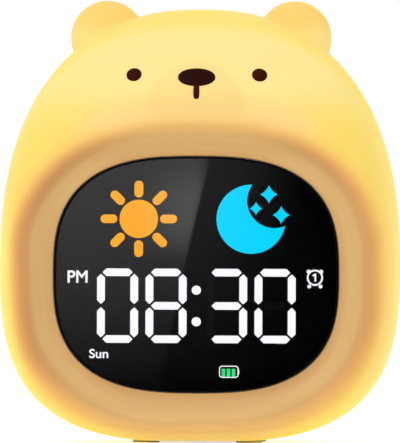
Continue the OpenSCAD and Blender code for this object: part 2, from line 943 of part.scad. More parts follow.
module lamp_screws() {
  color("silver")
    for (sx = [-1, 1])
      translate([sx * lamp_screw_x, 0, bracket_high + board_t])
        rotate([90, 0, 0])
          screw(0, 0, 0, screw_d, screw_d + 1.8, small_head_t, board_t + bracket_t + 1);
}

// ---- Main board ----

module main_board() {
  color([0.05, 0.35, 0.2])
    difference() {
      slab(main_y - board_t, main_y)
        translate([0, (main_low + main_high) / 2])
          round_plate(main_w, main_high - main_low, 2);
      at_board_screws()
        rod(0, 0, screw_d + 2 * fit, main_y - board_t - 1, main_y + 1);
    }
}

module board_screws() {
  color("silver")
    mirror([0, 1, 0])
      for (sx = [-1, 1], z = [main_low + main_boss[1], main_high - main_boss[1]])
        screw(sx * main_boss[0], z, board_t - main_y, screw_d, screw_d + 1.8, small_head_t, 5);
}

// Chips on the inner side: controller, clock, audio amplifier and tap sensor.
// Each has its place as a share of the board's half size, and its width, height and thickness.
module board_chips() {
  chips = [
    [-0.4, 0.33, 9, 9, 1.2], [-0.73, -0.25, 5, 4, 1.2], [0.43, 0.42, 6, 5, 1.2], [0.73, -0.1, 4, 8, 4]
  ];
  color([0.12, 0.12, 0.13])
    for (c = chips)
      translate([c[0] * main_w / 2 - c[2] / 2, main_y - board_t - c[4],
                 (main_low + main_high + c[1] * (main_high - main_low) - c[3]) / 2])
        cube([c[2], c[4], c[3]]);
}

function button_x(k) = (k - 2) * button_pitch;

module tact_switches() {
  color([0.2, 0.2, 0.22])
    for (k = [0:4])
      difference() {
        translate([button_x(k) - tact_w / 2, main_y, button_z - tact_w / 2])
          cube([tact_w, tact_t, tact_w]);
        rod(button_x(k), button_z, plunger_d + 2 * play, main_y + tact_t / 2, main_y + tact_t + 1);
      }
}

// Plunger of a tact switch, which moves with its button
module plunger(k) {
  color([0.75, 0.72, 0.6])
    rod(button_x(k), button_z, plunger_d, main_y + tact_t / 2 + button_travel + play,
        main_y + tact_t + tact_reach);
}

// Push button: cap through the panel, flange behind it and stem down to the plunger
module push_button(k) {
  flange_back = seat_y - play;
  color([1, 0.86, 0.52])
    translate([button_x(k), 0, button_z]) {
      rod(0, 0, plunger_d, main_y + tact_t + tact_reach, flange_back - flange_t);
      rod(0, 0, flange_d, flange_back - flange_t, flange_back);
      translate([0, flange_back, 0])
        rotate([-90, 0, 0])
          rotate_extrude($fn = 48) {
            cap_h = panel_face + button_proud - flange_back;
            square([button_d / 2, cap_h - 0.6]);
            square([button_d / 2 - 0.6, cap_h]);
            translate([button_d / 2 - 0.6, cap_h - 0.6])
              circle(0.6, $fn = 32);
          }
    }
}

// ---- Battery ----

module battery_tray() {
  color([0.2, 0.2, 0.22])
    difference() {
      translate([0, 0, base_boss_top])
        linear_extrude(tray_t + tray_rim)
          round_plate(cell_w + 2 * fit + 2.4, cell_l + 2 * fit + 2.4, 2);
      translate([0, 0, base_boss_top + tray_t])
        linear_extrude(tray_rim + 1)
          square([cell_w + 2 * fit, cell_l + 2 * fit], center = true);
    }
}

module battery_cell() {
  color([0.3, 0.45, 0.75])
    translate([0, 0, base_boss_top + tray_t])
      linear_extrude(cell_t)
        round_plate(cell_w, cell_l, 1.5);
}

// ---- Speaker ----

// A profile turned about the speaker's axis, with its +Y towards the grille
module speaker_turned() {
  translate([0, seat_y, grille_z])
    rotate([-90, 0, 0])
      rotate_extrude($fn = 64)
        children();
}

module speaker_frame() {
  r = speaker_d / 2;
  basket = speaker_t - magnet_t;
  color([0.25, 0.25, 0.27])
    speaker_turned()
      polygon([
        [r - 2, 0], [r, 0], [r, -speaker_flange], [r - 1.2, -speaker_flange],
        [magnet_d / 2 + 1, -basket], [3.5, -basket], [3.5, -basket + 1],
        [magnet_d / 2 + 0.4, -basket + 1], [r - 2.2, -speaker_flange - 0.2]
      ]);
}

module speaker_cone() {
  r = speaker_d / 2 - 2.6;
  depth = speaker_t - magnet_t - 1.6;
  color([0.15, 0.15, 0.16])
    speaker_turned()
      polygon([
        [r, -speaker_flange - 0.1], [r - 0.6, -speaker_flange - 0.1], [4.5, -depth + 0.3],
        [0, -depth + 1], [0, -depth], [4.3, -depth - 0.4]
      ]);
}

module speaker_magnet() {
  color([0.6, 0.6, 0.62])
    rod(0, grille_z, magnet_d, seat_y - speaker_t, seat_y - speaker_t + magnet_t);
}

// ---- Rear panel ----

// Grille holes on a hexagonal pattern, inside the grille's circle
function grille_points() = [
  for (i = [-8:8], j = [-8:8])
    let (p = [(i + (j % 2 == 0 ? 0 : 0.5)) * grille_pitch, j * grille_pitch * sqrt(3) / 2])
    if (norm(p) < (grille_d - grille_hole_d) / 2) p
];

module rear_panel() {
  color([0.97, 0.93, 0.82])
    difference() {
      union() {
        slab(seat_y, panel_face)
          oval(panel_z, panel_w, panel_h, panel_n);
        slab(usb_mouth - recess_wall, seat_y)
          translate([usb_x, control_z])
            square([recess_w + 2 * recess_wall, recess_h + 2 * recess_wall], center = true);
        translate([0, seat_y, grille_z])
          rotate([90, 0, 0])
            linear_extrude(2)
              difference() {
                circle(d = speaker_d + 2 * fit + 2.4, $fn = 64);
                circle(d = speaker_d + 2 * fit, $fn = 64);
              }
      }
      for (p = grille_points())
        rod(p[0], grille_z + p[1], grille_hole_d, seat_y - 1, panel_face + 1);
      for (k = [0:4])
        rod(button_x(k), button_z, button_d + 2 * play, seat_y - 1, panel_face + 1);
      slab(usb_mouth, panel_face + 1)
        translate([usb_x, control_z])
          square([recess_w, recess_h], center = true);
      slab(usb_mouth - recess_wall - 1, usb_mouth + 1)
        translate([usb_x, control_z])
          round_plate(usb_w + 2 * fit, usb_h + 2 * fit, usb_h / 2 + fit - 0.01);
      slab(seat_y - 1, panel_face + 1)
        translate([switch_x, control_z])
          square([knob_w + switch_travel + 2 * play, knob_h + 2 * play], center = true);
      at_panel_screws() {
        rod(0, 0, screw_d + 2 * fit, seat_y - 1, panel_face + 1);
        rod(0, 0, screw_d + 1.8 + 2 * fit, panel_face - small_head_t - 0.1, panel_face + 1);
      }
    }
}

module panel_screws() {
  color("silver")
    at_panel_screws()
      screw(0, 0, panel_face - small_head_t - 0.1, screw_d, screw_d + 1.8, small_head_t, 6);
}

module usb_socket() {
  color("silver")
    slab(main_y, usb_mouth - 0.2)
      translate([usb_x, control_z])
        difference() {
          round_plate(usb_w, usb_h, usb_h / 2 - 0.01);
          round_plate(usb_w - 2 * usb_wall, usb_h - 2 * usb_wall, usb_h / 2 - usb_wall - 0.01);
        }
}

module usb_tongue() {
  color([0.1, 0.1, 0.1])
    slab(main_y, usb_mouth - 1)
      translate([usb_x, control_z])
        square([6.7, 0.7], center = true);
}

knob_back = main_y + switch_t + play;

module switch_body() {
  color([0.75, 0.76, 0.78])
    translate([switch_x - switch_w / 2, main_y, control_z - switch_h / 2])
      cube([switch_w, switch_t, switch_h]);
}

// Knob of the slide switch, resting at its left stop
module switch_knob() {
  color([0.15, 0.15, 0.16])
    translate([-switch_travel / 2, 0, 0])
      slab(knob_back, panel_face + knob_proud)
        translate([switch_x, control_z])
          square([knob_w, knob_h], center = true);
}

// ---- Base ----

module at_feet() {
  for (sx = [-1, 1], sy = [-1, 1])
    translate([sx * foot_x, sy * foot_y, 0])
      children();
}

module at_base_screws() {
  for (sx = [-1, 1], sy = [-1, 1])
    translate([sx * base_screw[0], sy * base_screw[1], 0])
      children();
}

module base_cover() {
  color([0.97, 0.93, 0.82])
    difference() {
      translate([0, 0, plate_low])
        linear_extrude(base_t)
          oval(0, base_w, base_l, base_n);
      at_feet()
        translate([0, 0, plate_low - 1])
          cylinder(d = foot_d + 2 * fit, h = foot_seat - plate_low + 1, $fn = 48);
      at_base_screws() {
        translate([0, 0, plate_low - 1])
          cylinder(d = screw_d + 2 * fit, h = base_t + 2, $fn = 32);
        translate([0, 0, plate_low - 1])
          cylinder(d = screw_d + 1.8 + 2 * fit, h = 1 + base_t / 2, $fn = 32);
      }
    }
}

module base_screws() {
  color("silver")
    at_base_screws() {
      translate([0, 0, plate_low + 0.05])
        cylinder(d = screw_d + 1.8, h = base_t / 2 - 0.05, $fn = 32);
      translate([0, 0, plate_low + base_t / 2])
        cylinder(d = screw_d, h = 6, $fn = 32);
    }
}

module rubber_feet() {
  color([0.2, 0.2, 0.2])
    at_feet()
      cylinder(d = foot_d, h = foot_seat, $fn = 48);
}

silicone_skin();
eyes();
nose();
mouth();
display_lens();
lens_gasket();
segment_reflector();
digit(0);  // digit_1
digit(1);  // digit_2
digit(2);  // digit_3
digit(3);  // digit_4
colon_dots();
sun_icon();
moon_icon();
alarm_icon();
battery_icon();
display_board();
display_leds();
display_screws();
display_ribbon();
front_housing();
rear_housing();
housing_screws();
lamp_bracket();
lamp_board();
lamp_leds();
lamp_screws();
main_board();
board_screws();
board_chips();
tact_switches();
battery_tray();
battery_cell();
speaker_frame();
speaker_cone();
speaker_magnet();
rear_panel();
panel_screws();
usb_socket();
usb_tongue();
switch_body();
base_cover();
base_screws();
rubber_feet();
push_button(0);  // set_button
push_button(1);  // alarm_button
push_button(2);  // light_button
push_button(3);  // plus_button
push_button(4);  // minus_button
plunger(0);  // set_plunger
plunger(1);  // alarm_plunger
plunger(2);  // light_plunger
plunger(3);  // plus_plunger
plunger(4);  // minus_plunger
switch_knob();
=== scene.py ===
# %% [markdown]
# # A bear-shaped alarm clock with a night light in its head
#
# The real clock is a soft silicone skin pulled over two hard plastic shells. A smoked lens sits in
# a shallow dish in the belly, and a row of buttons, a grille and a charging socket are behind.
# The imported model gives every piece its place, so it is loaded first.

# %% Load the imported model
import math
from contextlib import contextmanager
from functools import partialmethod

import bmesh
import bpy
import numpy as np
from mathutils import Matrix, Vector
from mathutils.bvhtree import BVHTree


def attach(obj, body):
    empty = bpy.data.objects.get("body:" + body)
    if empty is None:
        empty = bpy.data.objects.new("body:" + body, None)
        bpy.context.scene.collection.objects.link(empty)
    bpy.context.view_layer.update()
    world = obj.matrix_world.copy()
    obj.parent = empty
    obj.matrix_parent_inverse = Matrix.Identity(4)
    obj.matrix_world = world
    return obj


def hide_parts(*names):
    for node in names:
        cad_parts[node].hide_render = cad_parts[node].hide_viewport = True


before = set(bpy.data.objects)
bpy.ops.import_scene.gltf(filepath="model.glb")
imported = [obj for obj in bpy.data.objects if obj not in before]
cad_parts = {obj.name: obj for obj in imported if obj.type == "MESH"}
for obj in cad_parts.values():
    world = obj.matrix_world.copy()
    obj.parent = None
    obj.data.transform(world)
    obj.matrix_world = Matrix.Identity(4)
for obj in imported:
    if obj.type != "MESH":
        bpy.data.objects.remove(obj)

MM = 0.001
QUARTER = math.pi / 2
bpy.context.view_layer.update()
scene = bpy.context.scene


def link(name, data):
    """A new object in the scene."""
    obj = bpy.data.objects.new(name, data)
    scene.collection.objects.link(obj)
    return obj


# %% [markdown]
# ## The camera
#
# The clock is seen almost straight on through a long lens, so its sides stay nearly parallel. The
# camera stands a little to the right, level with the middle of the clock, and the view is as tall
# as the clock. The picture is 400 by 443, and the taller side sets the lens.

# %% Camera
VIEW_HEIGHT, CAMERA_DISTANCE = 0.1336, 5.0
CAMERA_TURN, CAMERA_ROLL = math.radians(1.8), math.radians(0.2)
VIEW_CENTRE = Vector((-0.0002, 0.0, 0.0664))

camera = link("camera", bpy.data.cameras.new("camera"))
camera.data.sensor_width = 36.0
camera.data.lens = camera.data.sensor_width * CAMERA_DISTANCE / VIEW_HEIGHT
camera.data.clip_start, camera.data.clip_end = 0.1, 40.0
back = Vector((math.sin(CAMERA_TURN), -math.cos(CAMERA_TURN), 0.0))
camera.location = VIEW_CENTRE + back * CAMERA_DISTANCE
turn = (-back).to_track_quat("-Z", "Y").to_matrix() @ Matrix.Rotation(CAMERA_ROLL, 3, "Z")
camera.rotation_euler = turn.to_euler()
scene.camera = camera
print("camera at", [round(v, 3) for v in camera.location])

# %% [markdown]
# ## Node trees written as formulas
#
# Both Geometry Nodes and materials are built from nodes, and long formulas in them are hard to
# read. Here one call adds a node and fills its inputs. A second class wraps an output socket, so
# that a formula reads as ordinary Python: each plus, times or power adds the node that does it.

# %% Nodes, and numbers worked out by them
class Tree:
    """Whatever adds nodes to its node tree."""

    def fill(self, slot, value):
        """Links a field or a socket to an input, or types a value into it."""
        value = value.socket if isinstance(value, Field) else value
        if isinstance(value, bpy.types.NodeSocket):
            self.tree.links.new(value, slot)
        else:
            slot.default_value = (*value, 1) if slot.type == "RGBA" else value

    def add(self, kind, *values, **named):
        """Adds a node and returns its outputs. The values fill its inputs in their order, or by
        a name with capitals; a name without capitals is a setting of the node."""
        node = self.tree.nodes.new(kind)
        for name in filter(str.islower, named):
            setattr(node, name, named[name])
        for index, value in enumerate(values):
            self.fill(node.inputs[index], value)
        for name in named:
            if not name.islower():
                self.fill(node.inputs[name.replace("_", " ")], named[name])
        return node.outputs


class Field(Tree):
    """An output socket that can be used in arithmetic."""

    def __init__(self, tree, socket):
        self.tree, self.socket = tree, socket

    def math(self, operation, *others):
        return Field(self.tree, self.add("ShaderNodeMath", self, *others, operation=operation)[0])

    __add__ = __radd__ = partialmethod(math, "ADD")
    __mul__ = __rmul__ = partialmethod(math, "MULTIPLY")
    __sub__ = partialmethod(math, "SUBTRACT")
    __truediv__ = partialmethod(math, "DIVIDE")
    power = partialmethod(math, "POWER")
    size = partialmethod(math, "ABSOLUTE")
    above = partialmethod(math, "GREATER_THAN")
    larger = partialmethod(math, "MAXIMUM")
    smaller = partialmethod(math, "MINIMUM")
    sine = partialmethod(math, "SINE")

    def __rsub__(self, other):
        return self * -1.0 + other

    def smooth(self, low, high):
        """0 below low, 1 above high, with a soft step between."""
        step = self.add("ShaderNodeMapRange", self, low, high, interpolation_type="SMOOTHSTEP")
        return Field(self.tree, step["Result"])


print("node arithmetic ready")

# %% [markdown]
# ## Finishes
#
# Every finish starts from the Principled shader. A number that is the same all over is typed into
# the shader's own socket. What changes over the surface, such as mottling, wear or a printed line,
# is worked out from Object coordinates, in millimetres, so that it stays with the piece.

# %% A finish and what varies over it
class Finish(Tree):
    """A material built from the Principled shader, with its coordinates in millimetres."""

    def __init__(self, name, colour=(0.8, 0.8, 0.8), roughness=0.5, **constants):
        self.material = bpy.data.materials.new(name)
        self.material.use_nodes = True
        self.tree = self.material.node_tree
        self.shader = self.tree.nodes["Principled BSDF"]
        place = self.add("ShaderNodeTexCoord")["Object"]
        self.place = self.add("ShaderNodeVectorMath", place, Scale=1 / MM, operation="SCALE")[0]
        split = self.add("ShaderNodeSeparateXYZ", self.place)
        self.x, self.y, self.z = (Field(self.tree, socket) for socket in split)
        self.set(Base_Color=colour, Roughness=roughness, **constants)

    def set(self, **values):
        """Fills the shader's sockets and returns the material."""
        for name, value in values.items():
            self.fill(self.shader.inputs[name.replace("_", " ")], value)
        return self.material

    def noise(self, size, detail=3.0, stretch=(1, 1, 1)):
        """Noise between 0 and 1 with lumps of about that size in millimetres."""
        place = self.add("ShaderNodeMapping", self.place, Scale=[s / size for s in stretch])[0]
        return Field(self.tree, self.add("ShaderNodeTexNoise", place, Scale=1.0, Detail=detail)["Fac"])

    def mix(self, colour, *layers):
        """A colour under layers of (colour, share); a share of 1 covers it."""
        for top, share in layers:
            node = self.tree.nodes.new("ShaderNodeMix")
            node.data_type, node.clamp_factor = "RGBA", True
            # inputs 6 and 7 are the node's two colours, and output 2 is the mixed one
            for index, value in ((0, share), (6, colour), (7, top)):
                self.fill(node.inputs[index], value)
            colour = node.outputs[2]
        return colour

    def ramp(self, field, *stops):
        """Colour read from stops of (position, colour) at the field's value."""
        node = self.tree.nodes.new("ShaderNodeValToRGB")
        node.color_ramp.interpolation = "EASE"
        self.fill(node.inputs["Fac"], field)
        elements = node.color_ramp.elements
        while len(elements) < len(stops):
            elements.new(1.0)
        for element, (position, colour) in zip(elements, stops):
            element.position, element.color = position, (*colour, 1)
        return node.outputs["Color"]

    def bump(self, height, depth):
        """Bumps from a field of heights between 0 and 1, that deep in millimetres."""
        return self.set(Normal=self.add("ShaderNodeBump", Distance=depth * MM, Height=height)["Normal"])


def moulded(name, colour, roughness, spread=0.06, grain=0.4, depth=0.02):
    """Moulded plastic or rubber: slightly uneven colour and gloss over a fine spark-eroded grain."""
    finish = Finish(name, colour, roughness)
    cloud, fine = finish.noise(9.0), finish.noise(grain, 2.0)
    dark, light = ([min(1.0, c * share) for c in colour] for share in (1 - spread, 1 + spread))
    gloss = cloud * 0.12 + fine * 0.08 + (roughness - 0.1)
    finish.set(Base_Color=finish.mix(dark, (light, cloud)), Roughness=gloss)
    return finish.bump(fine, depth)


print("finishes ready")

# %% [markdown]
# ## Floor and light
#
# A plain studio: a white world, a pale floor and one broad soft lamp. The world looks white to the
# camera and in reflections, and lights the clock a little less than that, so that a colour renders
# about as it is written and the pale silicone doesn't clip. The floor is pale enough to fade into
# the world, and still takes the soft shadow of the clock.

# %% World, floor and lamp
FLOOR_LIFT, FLOOR_HALF = 0.6, 9.0
SKY_LIGHT, LAMP_POWER = 0.85, 11.0
LAMP_W, LAMP_H, LAMP_PLACE = 1.6, 1.2, (-0.9, -1.5, 1.6)


def seen_directly(tree):
    """1 for what the camera sees, also in a reflection or through glass, and 0 for light."""
    path = tree.nodes.new("ShaderNodeLightPath").outputs
    camera_ray, glossy, through = (Field(tree, path[f"Is {ray} Ray"])
                                   for ray in ("Camera", "Glossy", "Transmission"))
    return camera_ray.larger(glossy).larger(through)


def stage_sheet(name, corners, material):
    """A flat piece of the studio."""
    mesh = bpy.data.meshes.new(name)
    mesh.from_pydata(corners, [], [(0, 1, 2, 3)])
    mesh.materials.append(material)
    sheet = link(name, mesh)
    return sheet


scene.world = bpy.data.worlds.new("studio")
scene.world.use_nodes = True
sky = scene.world.node_tree
background = sky.nodes["Background"].inputs
background["Color"].default_value = (1, 1, 1, 1)
sky_strength = seen_directly(sky) * (1.0 - SKY_LIGHT) + SKY_LIGHT
sky.links.new(sky_strength.socket, background["Strength"])

pale = Finish("pale floor", (0.95, 0.95, 0.95), 0.9, Specular_IOR_Level=0.1, Emission_Color=(1, 1, 1))
pale.set(Emission_Strength=seen_directly(pale.tree) * FLOOR_LIFT)
corners = [(sx * FLOOR_HALF, sy * FLOOR_HALF, 0) for sx, sy in ((-1, -1), (1, -1), (1, 1), (-1, 1))]
stage_sheet("floor", corners, pale.material)

lamp = link("soft lamp", bpy.data.lights.new("soft lamp", "AREA"))
lamp.data.shape, lamp.data.size, lamp.data.size_y = "RECTANGLE", LAMP_W, LAMP_H
lamp.data.energy = LAMP_POWER
lamp.location = LAMP_PLACE
lamp.rotation_euler = (VIEW_CENTRE - lamp.location).to_track_quat("-Z", "Y").to_euler()
scene.view_settings.view_transform = "Standard"
print("world, floor and lamp ready")

# %% [markdown]
# ## The form of the body
#
# The body is a superellipse in front view: flatter than a circle at its sides and rounder at the
# forehead than at the chin. From the widest line, its waist, the surface rolls forward and back to
# two rims, and inside each rim it dishes in again, to the lens in front and to the hatch behind.
# It could be sculpted, but a formula gives every point exactly, so the shell is built as rings
# about the opening, each a superellipse blended between the rim and the waist. These are the rules
# and sizes of the solid part, in millimetres, so that both fit; only the cheeks are a little fuller.

# %% Sizes of the body
WIDTH, DEPTH, TOP, WAIST_Z = 120.0, 92.0, 130.3, 53.7
RIM_HALF_W, RIM_LOW, RIM_TOP = 51.5, 5.0, 95.5
FRONT_DISH, REAR_DISH, SKIN_WALL = 4.0, 2.0, 2.4
HEAD_N, CHIN_N, RIM_N, LENS_N, PANEL_N = 2.35, 2.95, 2.9, 2.78, 3.4
FOREHEAD_N, CHEEK_N, UNDER_N = 2.1, 2.6, 3.0
LENS_W, LENS_H, DISPLAY_Z, PANEL_Z = 85.0, 70.4, 50.5, 49.0
LENS, PANEL = (LENS_W, LENS_H, DISPLAY_Z, LENS_N), (68.0, 60.0, PANEL_Z, PANEL_N)
MUZZLE_RISE, MUZZLE_W, MUZZLE_H, MUZZLE_Z = 1.2, 13.0, 10.0, 104.3
FIT, LANDING, LIP = 0.2, 0.8, 0.6
HALF_DEPTH = DEPTH / 2
FACE_Y = -HALF_DEPTH + FRONT_DISH
REAR_Y = HALF_DEPTH - REAR_DISH


def term(c, n):
    """Superellipse term: the power keeps the sign of a sine or cosine."""
    return np.sign(c) * np.abs(c) ** (2 / n)


def outline(t, z, half_w, up, down, n_up, n_down):
    """Points of an outline in X and Z, at angles t."""
    c, s = np.cos(t), np.sin(t)
    n = np.where(s >= 0, n_up, n_down)
    reach = np.where(s >= 0, up, down)
    return np.stack([half_w * term(c, n), z + reach * term(s, n)], axis=-1)


def even_angles(count, n=2.8):
    """Angles that spread the points of a superellipse evenly."""
    a = np.arange(count) * 2 * math.pi / count
    return np.arctan2(term(np.sin(a), 4 / n), term(np.cos(a), 4 / n))


def waist(t, inset):
    return outline(t, WAIST_Z, WIDTH / 2 - inset, TOP - WAIST_Z - inset, WAIST_Z - inset, HEAD_N, CHIN_N)


def rim(t, inset):
    middle, reach = (RIM_TOP + RIM_LOW) / 2, (RIM_TOP - RIM_LOW - inset) / 2
    return outline(t, middle, RIM_HALF_W - inset / 2, reach, reach, RIM_N, RIM_N)


def opening(t, shape, extra=0.0):
    """Outline of a (width, height, middle, roundness), made larger by extra all round."""
    width, height, z, n = shape
    return outline(t, z, width / 2 + extra, height / 2 + extra, height / 2 + extra, n, n)


print("waist", WIDTH, "mm wide, rim", 2 * RIM_HALF_W, "mm wide")

# %% Rings of the shell
def ring_at(points, y):
    """A ring of 3-D points from its X and Z, and its depth."""
    return np.stack([points[:, 0], np.broadcast_to(y, len(points)), points[:, 1]], axis=-1)


def roll_ring(t, angle, side, inset, rise=0.0):
    """Ring of the roll from the waist (angle 0) to a rim (angle 90 degrees); side is -1 in front."""
    s = np.sin(t)
    n = CHEEK_N + np.where(s > 0, FOREHEAD_N - CHEEK_N, UNDER_N - CHEEK_N) * s * s
    inner, outer = rim(t, inset), waist(t, inset)
    out, deep = (np.clip(c, 0, 1) ** (2 / n) for c in (math.cos(angle), math.sin(angle)))
    p = inner + (outer - inner) * out[:, None]
    swell = rise * np.exp(-(p[:, 0] / MUZZLE_W) ** 2 - ((p[:, 1] - MUZZLE_Z) / MUZZLE_H) ** 2)
    return ring_at(p, side * ((HALF_DEPTH - inset) + swell) * deep)


def dish_ring(t, strip, v, side, inset, floor_y):
    """Ring of a dish, from its floor beside the opening (v 0) to the rim (v 1)."""
    curve = v * v * (3 - 2 * v)
    return ring_at(strip + (rim(t, inset) - strip) * v,
                   floor_y + (side * (HALF_DEPTH - inset) - floor_y) * curve)


def skin_side(t, inset, rise, dish_steps, roll_steps):
    """Rings of one surface of the skin, from the window back to the hatch."""
    window, hatch = (opening(t, shape, FIT + LANDING) for shape in (LENS, PANEL))
    rings = [dish_ring(t, window, k / dish_steps, -1, inset, FACE_Y + inset) for k in range(dish_steps)]
    rings += [roll_ring(t, QUARTER * (1 - k / roll_steps), -1, inset, rise) for k in range(roll_steps)]
    rings += [roll_ring(t, QUARTER * k / roll_steps, 1, inset) for k in range(roll_steps + 1)]
    shares = [1 - k / dish_steps for k in range(1, dish_steps + 1)]
    return rings + [dish_ring(t, hatch, share, 1, inset, REAR_Y - inset) for share in shares]


def round_edge(t, shape, extra, y, radius, inward, angles):
    """Rings of a rounded lip; with a radius below 0, of a rounded outer edge."""
    return [ring_at(opening(t, shape, extra + radius * (1 - math.sin(a))),
                    y + inward * abs(radius) * (1 - math.cos(a))) for a in angles]


def skin_rings(t, dish_steps=16, roll_steps=40):
    """Closed profile of the skin: lip, outer side, lip and inner side, ring after ring."""
    front, rear = (round_edge(t, shape, FIT, y, LIP, inward, np.linspace(0, QUARTER, 5))
                   for shape, y, inward in ((LENS, FACE_Y, 1), (PANEL, REAR_Y, -1)))
    front_back = ring_at(opening(t, LENS, FIT), FACE_Y + SKIN_WALL)
    rear_back = ring_at(opening(t, PANEL, FIT), REAR_Y - SKIN_WALL)
    outer = skin_side(t, 0.0, MUZZLE_RISE, dish_steps, roll_steps)
    inner = skin_side(t, SKIN_WALL, 0.0, dish_steps // 4, roll_steps // 2)
    return front[::-1] + outer + rear + [rear_back] + inner[::-1] + [front_back]


def ring_faces(rings, count, closed):
    """Quads between rings of equally many points; closed joins the last ring to the first."""
    faces = []
    for r in range(rings if closed else rings - 1):
        a, b = r * count, (r + 1) % rings * count
        faces += [(a + i, a + (i + 1) % count, b + (i + 1) % count, b + i) for i in range(count)]
    return faces


@contextmanager
def edited(mesh):
    """Opens a mesh for editing and writes it back."""
    form = bmesh.new()
    form.from_mesh(mesh)
    yield form
    form.to_mesh(mesh)
    form.free()


def crisp(obj, angle=35):
    """Smooth shading that keeps the edges sharper than that angle."""
    obj.data.shade_smooth()
    obj.data.set_sharp_from_angle(angle=math.radians(angle))
    return obj


def tidy(obj, angle=35):
    """Turns an object's faces outwards and sets its shading."""
    with edited(obj.data) as form:
        bmesh.ops.recalc_face_normals(form, faces=form.faces)
    return crisp(obj, angle)


def loft(name, rings, closed=False):
    """A solid through rings, in millimetres; an open run of rings is capped at both ends."""
    count = len(rings[0])
    faces = ring_faces(len(rings), count, closed)
    if not closed:
        last = (len(rings) - 1) * count
        faces += [tuple(range(count - 1, -1, -1)), tuple(last + i for i in range(count))]
    mesh = bpy.data.meshes.new(name)
    mesh.from_pydata([tuple(p * MM for p in point) for point in np.concatenate(rings)], [], faces)
    return tidy(link(name, mesh))


AROUND = 192
skin = loft("silicone_skin", skin_rings(even_angles(AROUND)), closed=True)
print("skin:", len(skin.data.polygons), "quads before the ears")

# %% [markdown]
# ## The ears
#
# Each ear is a thick round disc with a half-round edge, moulded in one with the skin. A plain union
# would leave a hard crease where it meets the head, and real silicone flows there in a small
# fillet. So the ear is joined first, the triangles beside the crease are split finely, and each of
# their points is moved onto the soft union of two distances: to the head and to the ear.

# %% Joining one solid with another
def settled(obj):
    """The plain mesh of an object with its modifiers applied."""
    return bpy.data.meshes.new_from_object(obj.evaluated_get(bpy.context.evaluated_depsgraph_get()))


def carve(obj, tool, operation="DIFFERENCE"):
    """Applies a boolean with the other object, which is then removed."""
    modifier = obj.modifiers.new("carve", "BOOLEAN")
    modifier.operation, modifier.solver, modifier.object = operation, "MANIFOLD", tool
    whole = settled(obj)
    obj.modifiers.remove(modifier)
    obj.data = whole
    bpy.data.objects.remove(tool)


def arc(x, y, reach_x, reach_y, start, end, count):
    """Points of an arc about x, y, from one angle to another."""
    return [(x + reach_x * math.cos(a), y + reach_y * math.sin(a)) for a in np.linspace(start, end, count)]


def turned(name, profile, steps, centre=(0, 0, 0), axis="Y"):
    """A solid of revolution from (radius, distance) pairs; its axis runs along +Y or +Z."""
    a = np.arange(steps) * 2 * math.pi / steps
    order = (0, 2, 1) if axis == "Y" else (0, 1, 2)
    rings = []
    for radius, along in profile:
        flat = (radius * np.cos(a), radius * np.sin(a), np.full(steps, along))
        rings.append(np.stack([flat[i] for i in order], axis=-1) + np.array(centre))
    return loft(name, rings)


EAR_R, EAR_X, EAR_Z = 11.1, 28.2, 121.8
EAR_EDGE = 6.5
EAR_CORE = EAR_R - EAR_EDGE
FILLET, CREASE_LOW = 2.6, TOP - 30


def ear_distance(p):
    """Distance in millimetres from a point to an ear's surface, negative inside."""
    across = math.hypot(abs(p[0]) - EAR_X, p[2] - EAR_Z) - EAR_CORE
    return math.hypot(max(across, 0.0), p[1]) - EAR_EDGE


def ear(side):
    """One ear as a solid of revolution about Y."""
    shares = (0.02, 0.35, 0.7)
    profile = [(EAR_CORE * s, -EAR_EDGE) for s in shares]
    profile += arc(EAR_CORE, 0, EAR_EDGE, EAR_EDGE, -QUARTER, QUARTER, 25)
    profile += [(EAR_CORE * s, EAR_EDGE) for s in reversed(shares)]
    return turned("ear", profile, 96, (side * EAR_X, 0, EAR_Z))


print("an ear reaches", round(EAR_Z + EAR_R, 1), "mm up")

# %% The head's own surface, fine enough to measure from
HEAD_AROUND = 640
head_rings = skin_side(even_angles(HEAD_AROUND), 0.0, MUZZLE_RISE, 4, 130)
head_points = [Vector(p) for p in np.concatenate(head_rings)]
head = BVHTree.FromPolygons(head_points, ring_faces(len(head_rings), HEAD_AROUND, False))


def head_distance(p):
    """Distance from a point to the head's surface, negative inside."""
    spot, normal, _, gap = head.find_nearest(p)
    return math.copysign(gap, (p - spot).dot(normal))


def soft_union(p):
    """Both distances blended, so that their zero surface has a fillet in the crease."""
    a, b = head_distance(p), ear_distance(p)
    share = min(1.0, max(0.0, 0.5 + (b - a) / (2 * FILLET)))
    return b + (a - b) * share - FILLET * share * (1 - share)


def settle(p, steps=4, reach=0.05):
    """Moves a point onto the soft union's surface."""
    for _ in range(steps):
        slope = Vector([(soft_union(p + step) - soft_union(p - step)) / (2 * reach)
                        for step in Matrix.Identity(3) * reach])
        if slope.length < 1e-6:
            break
        p = p - slope * (soft_union(p) / slope.length_squared)
    return p


print("head surface of", len(head_points), "points ready to measure from")

# %% Ears joined on with a fillet
for side in (-1, 1):
    shape = ear(side)
    carve(shape, loft("core", skin_side(even_angles(AROUND), SKIN_WALL / 2, 0.0, 4, 40)))
    carve(skin, shape, "UNION")


def near_crease(p, band):
    return abs(ear_distance(p)) < band and abs(head_distance(p)) < band and p.z > CREASE_LOW


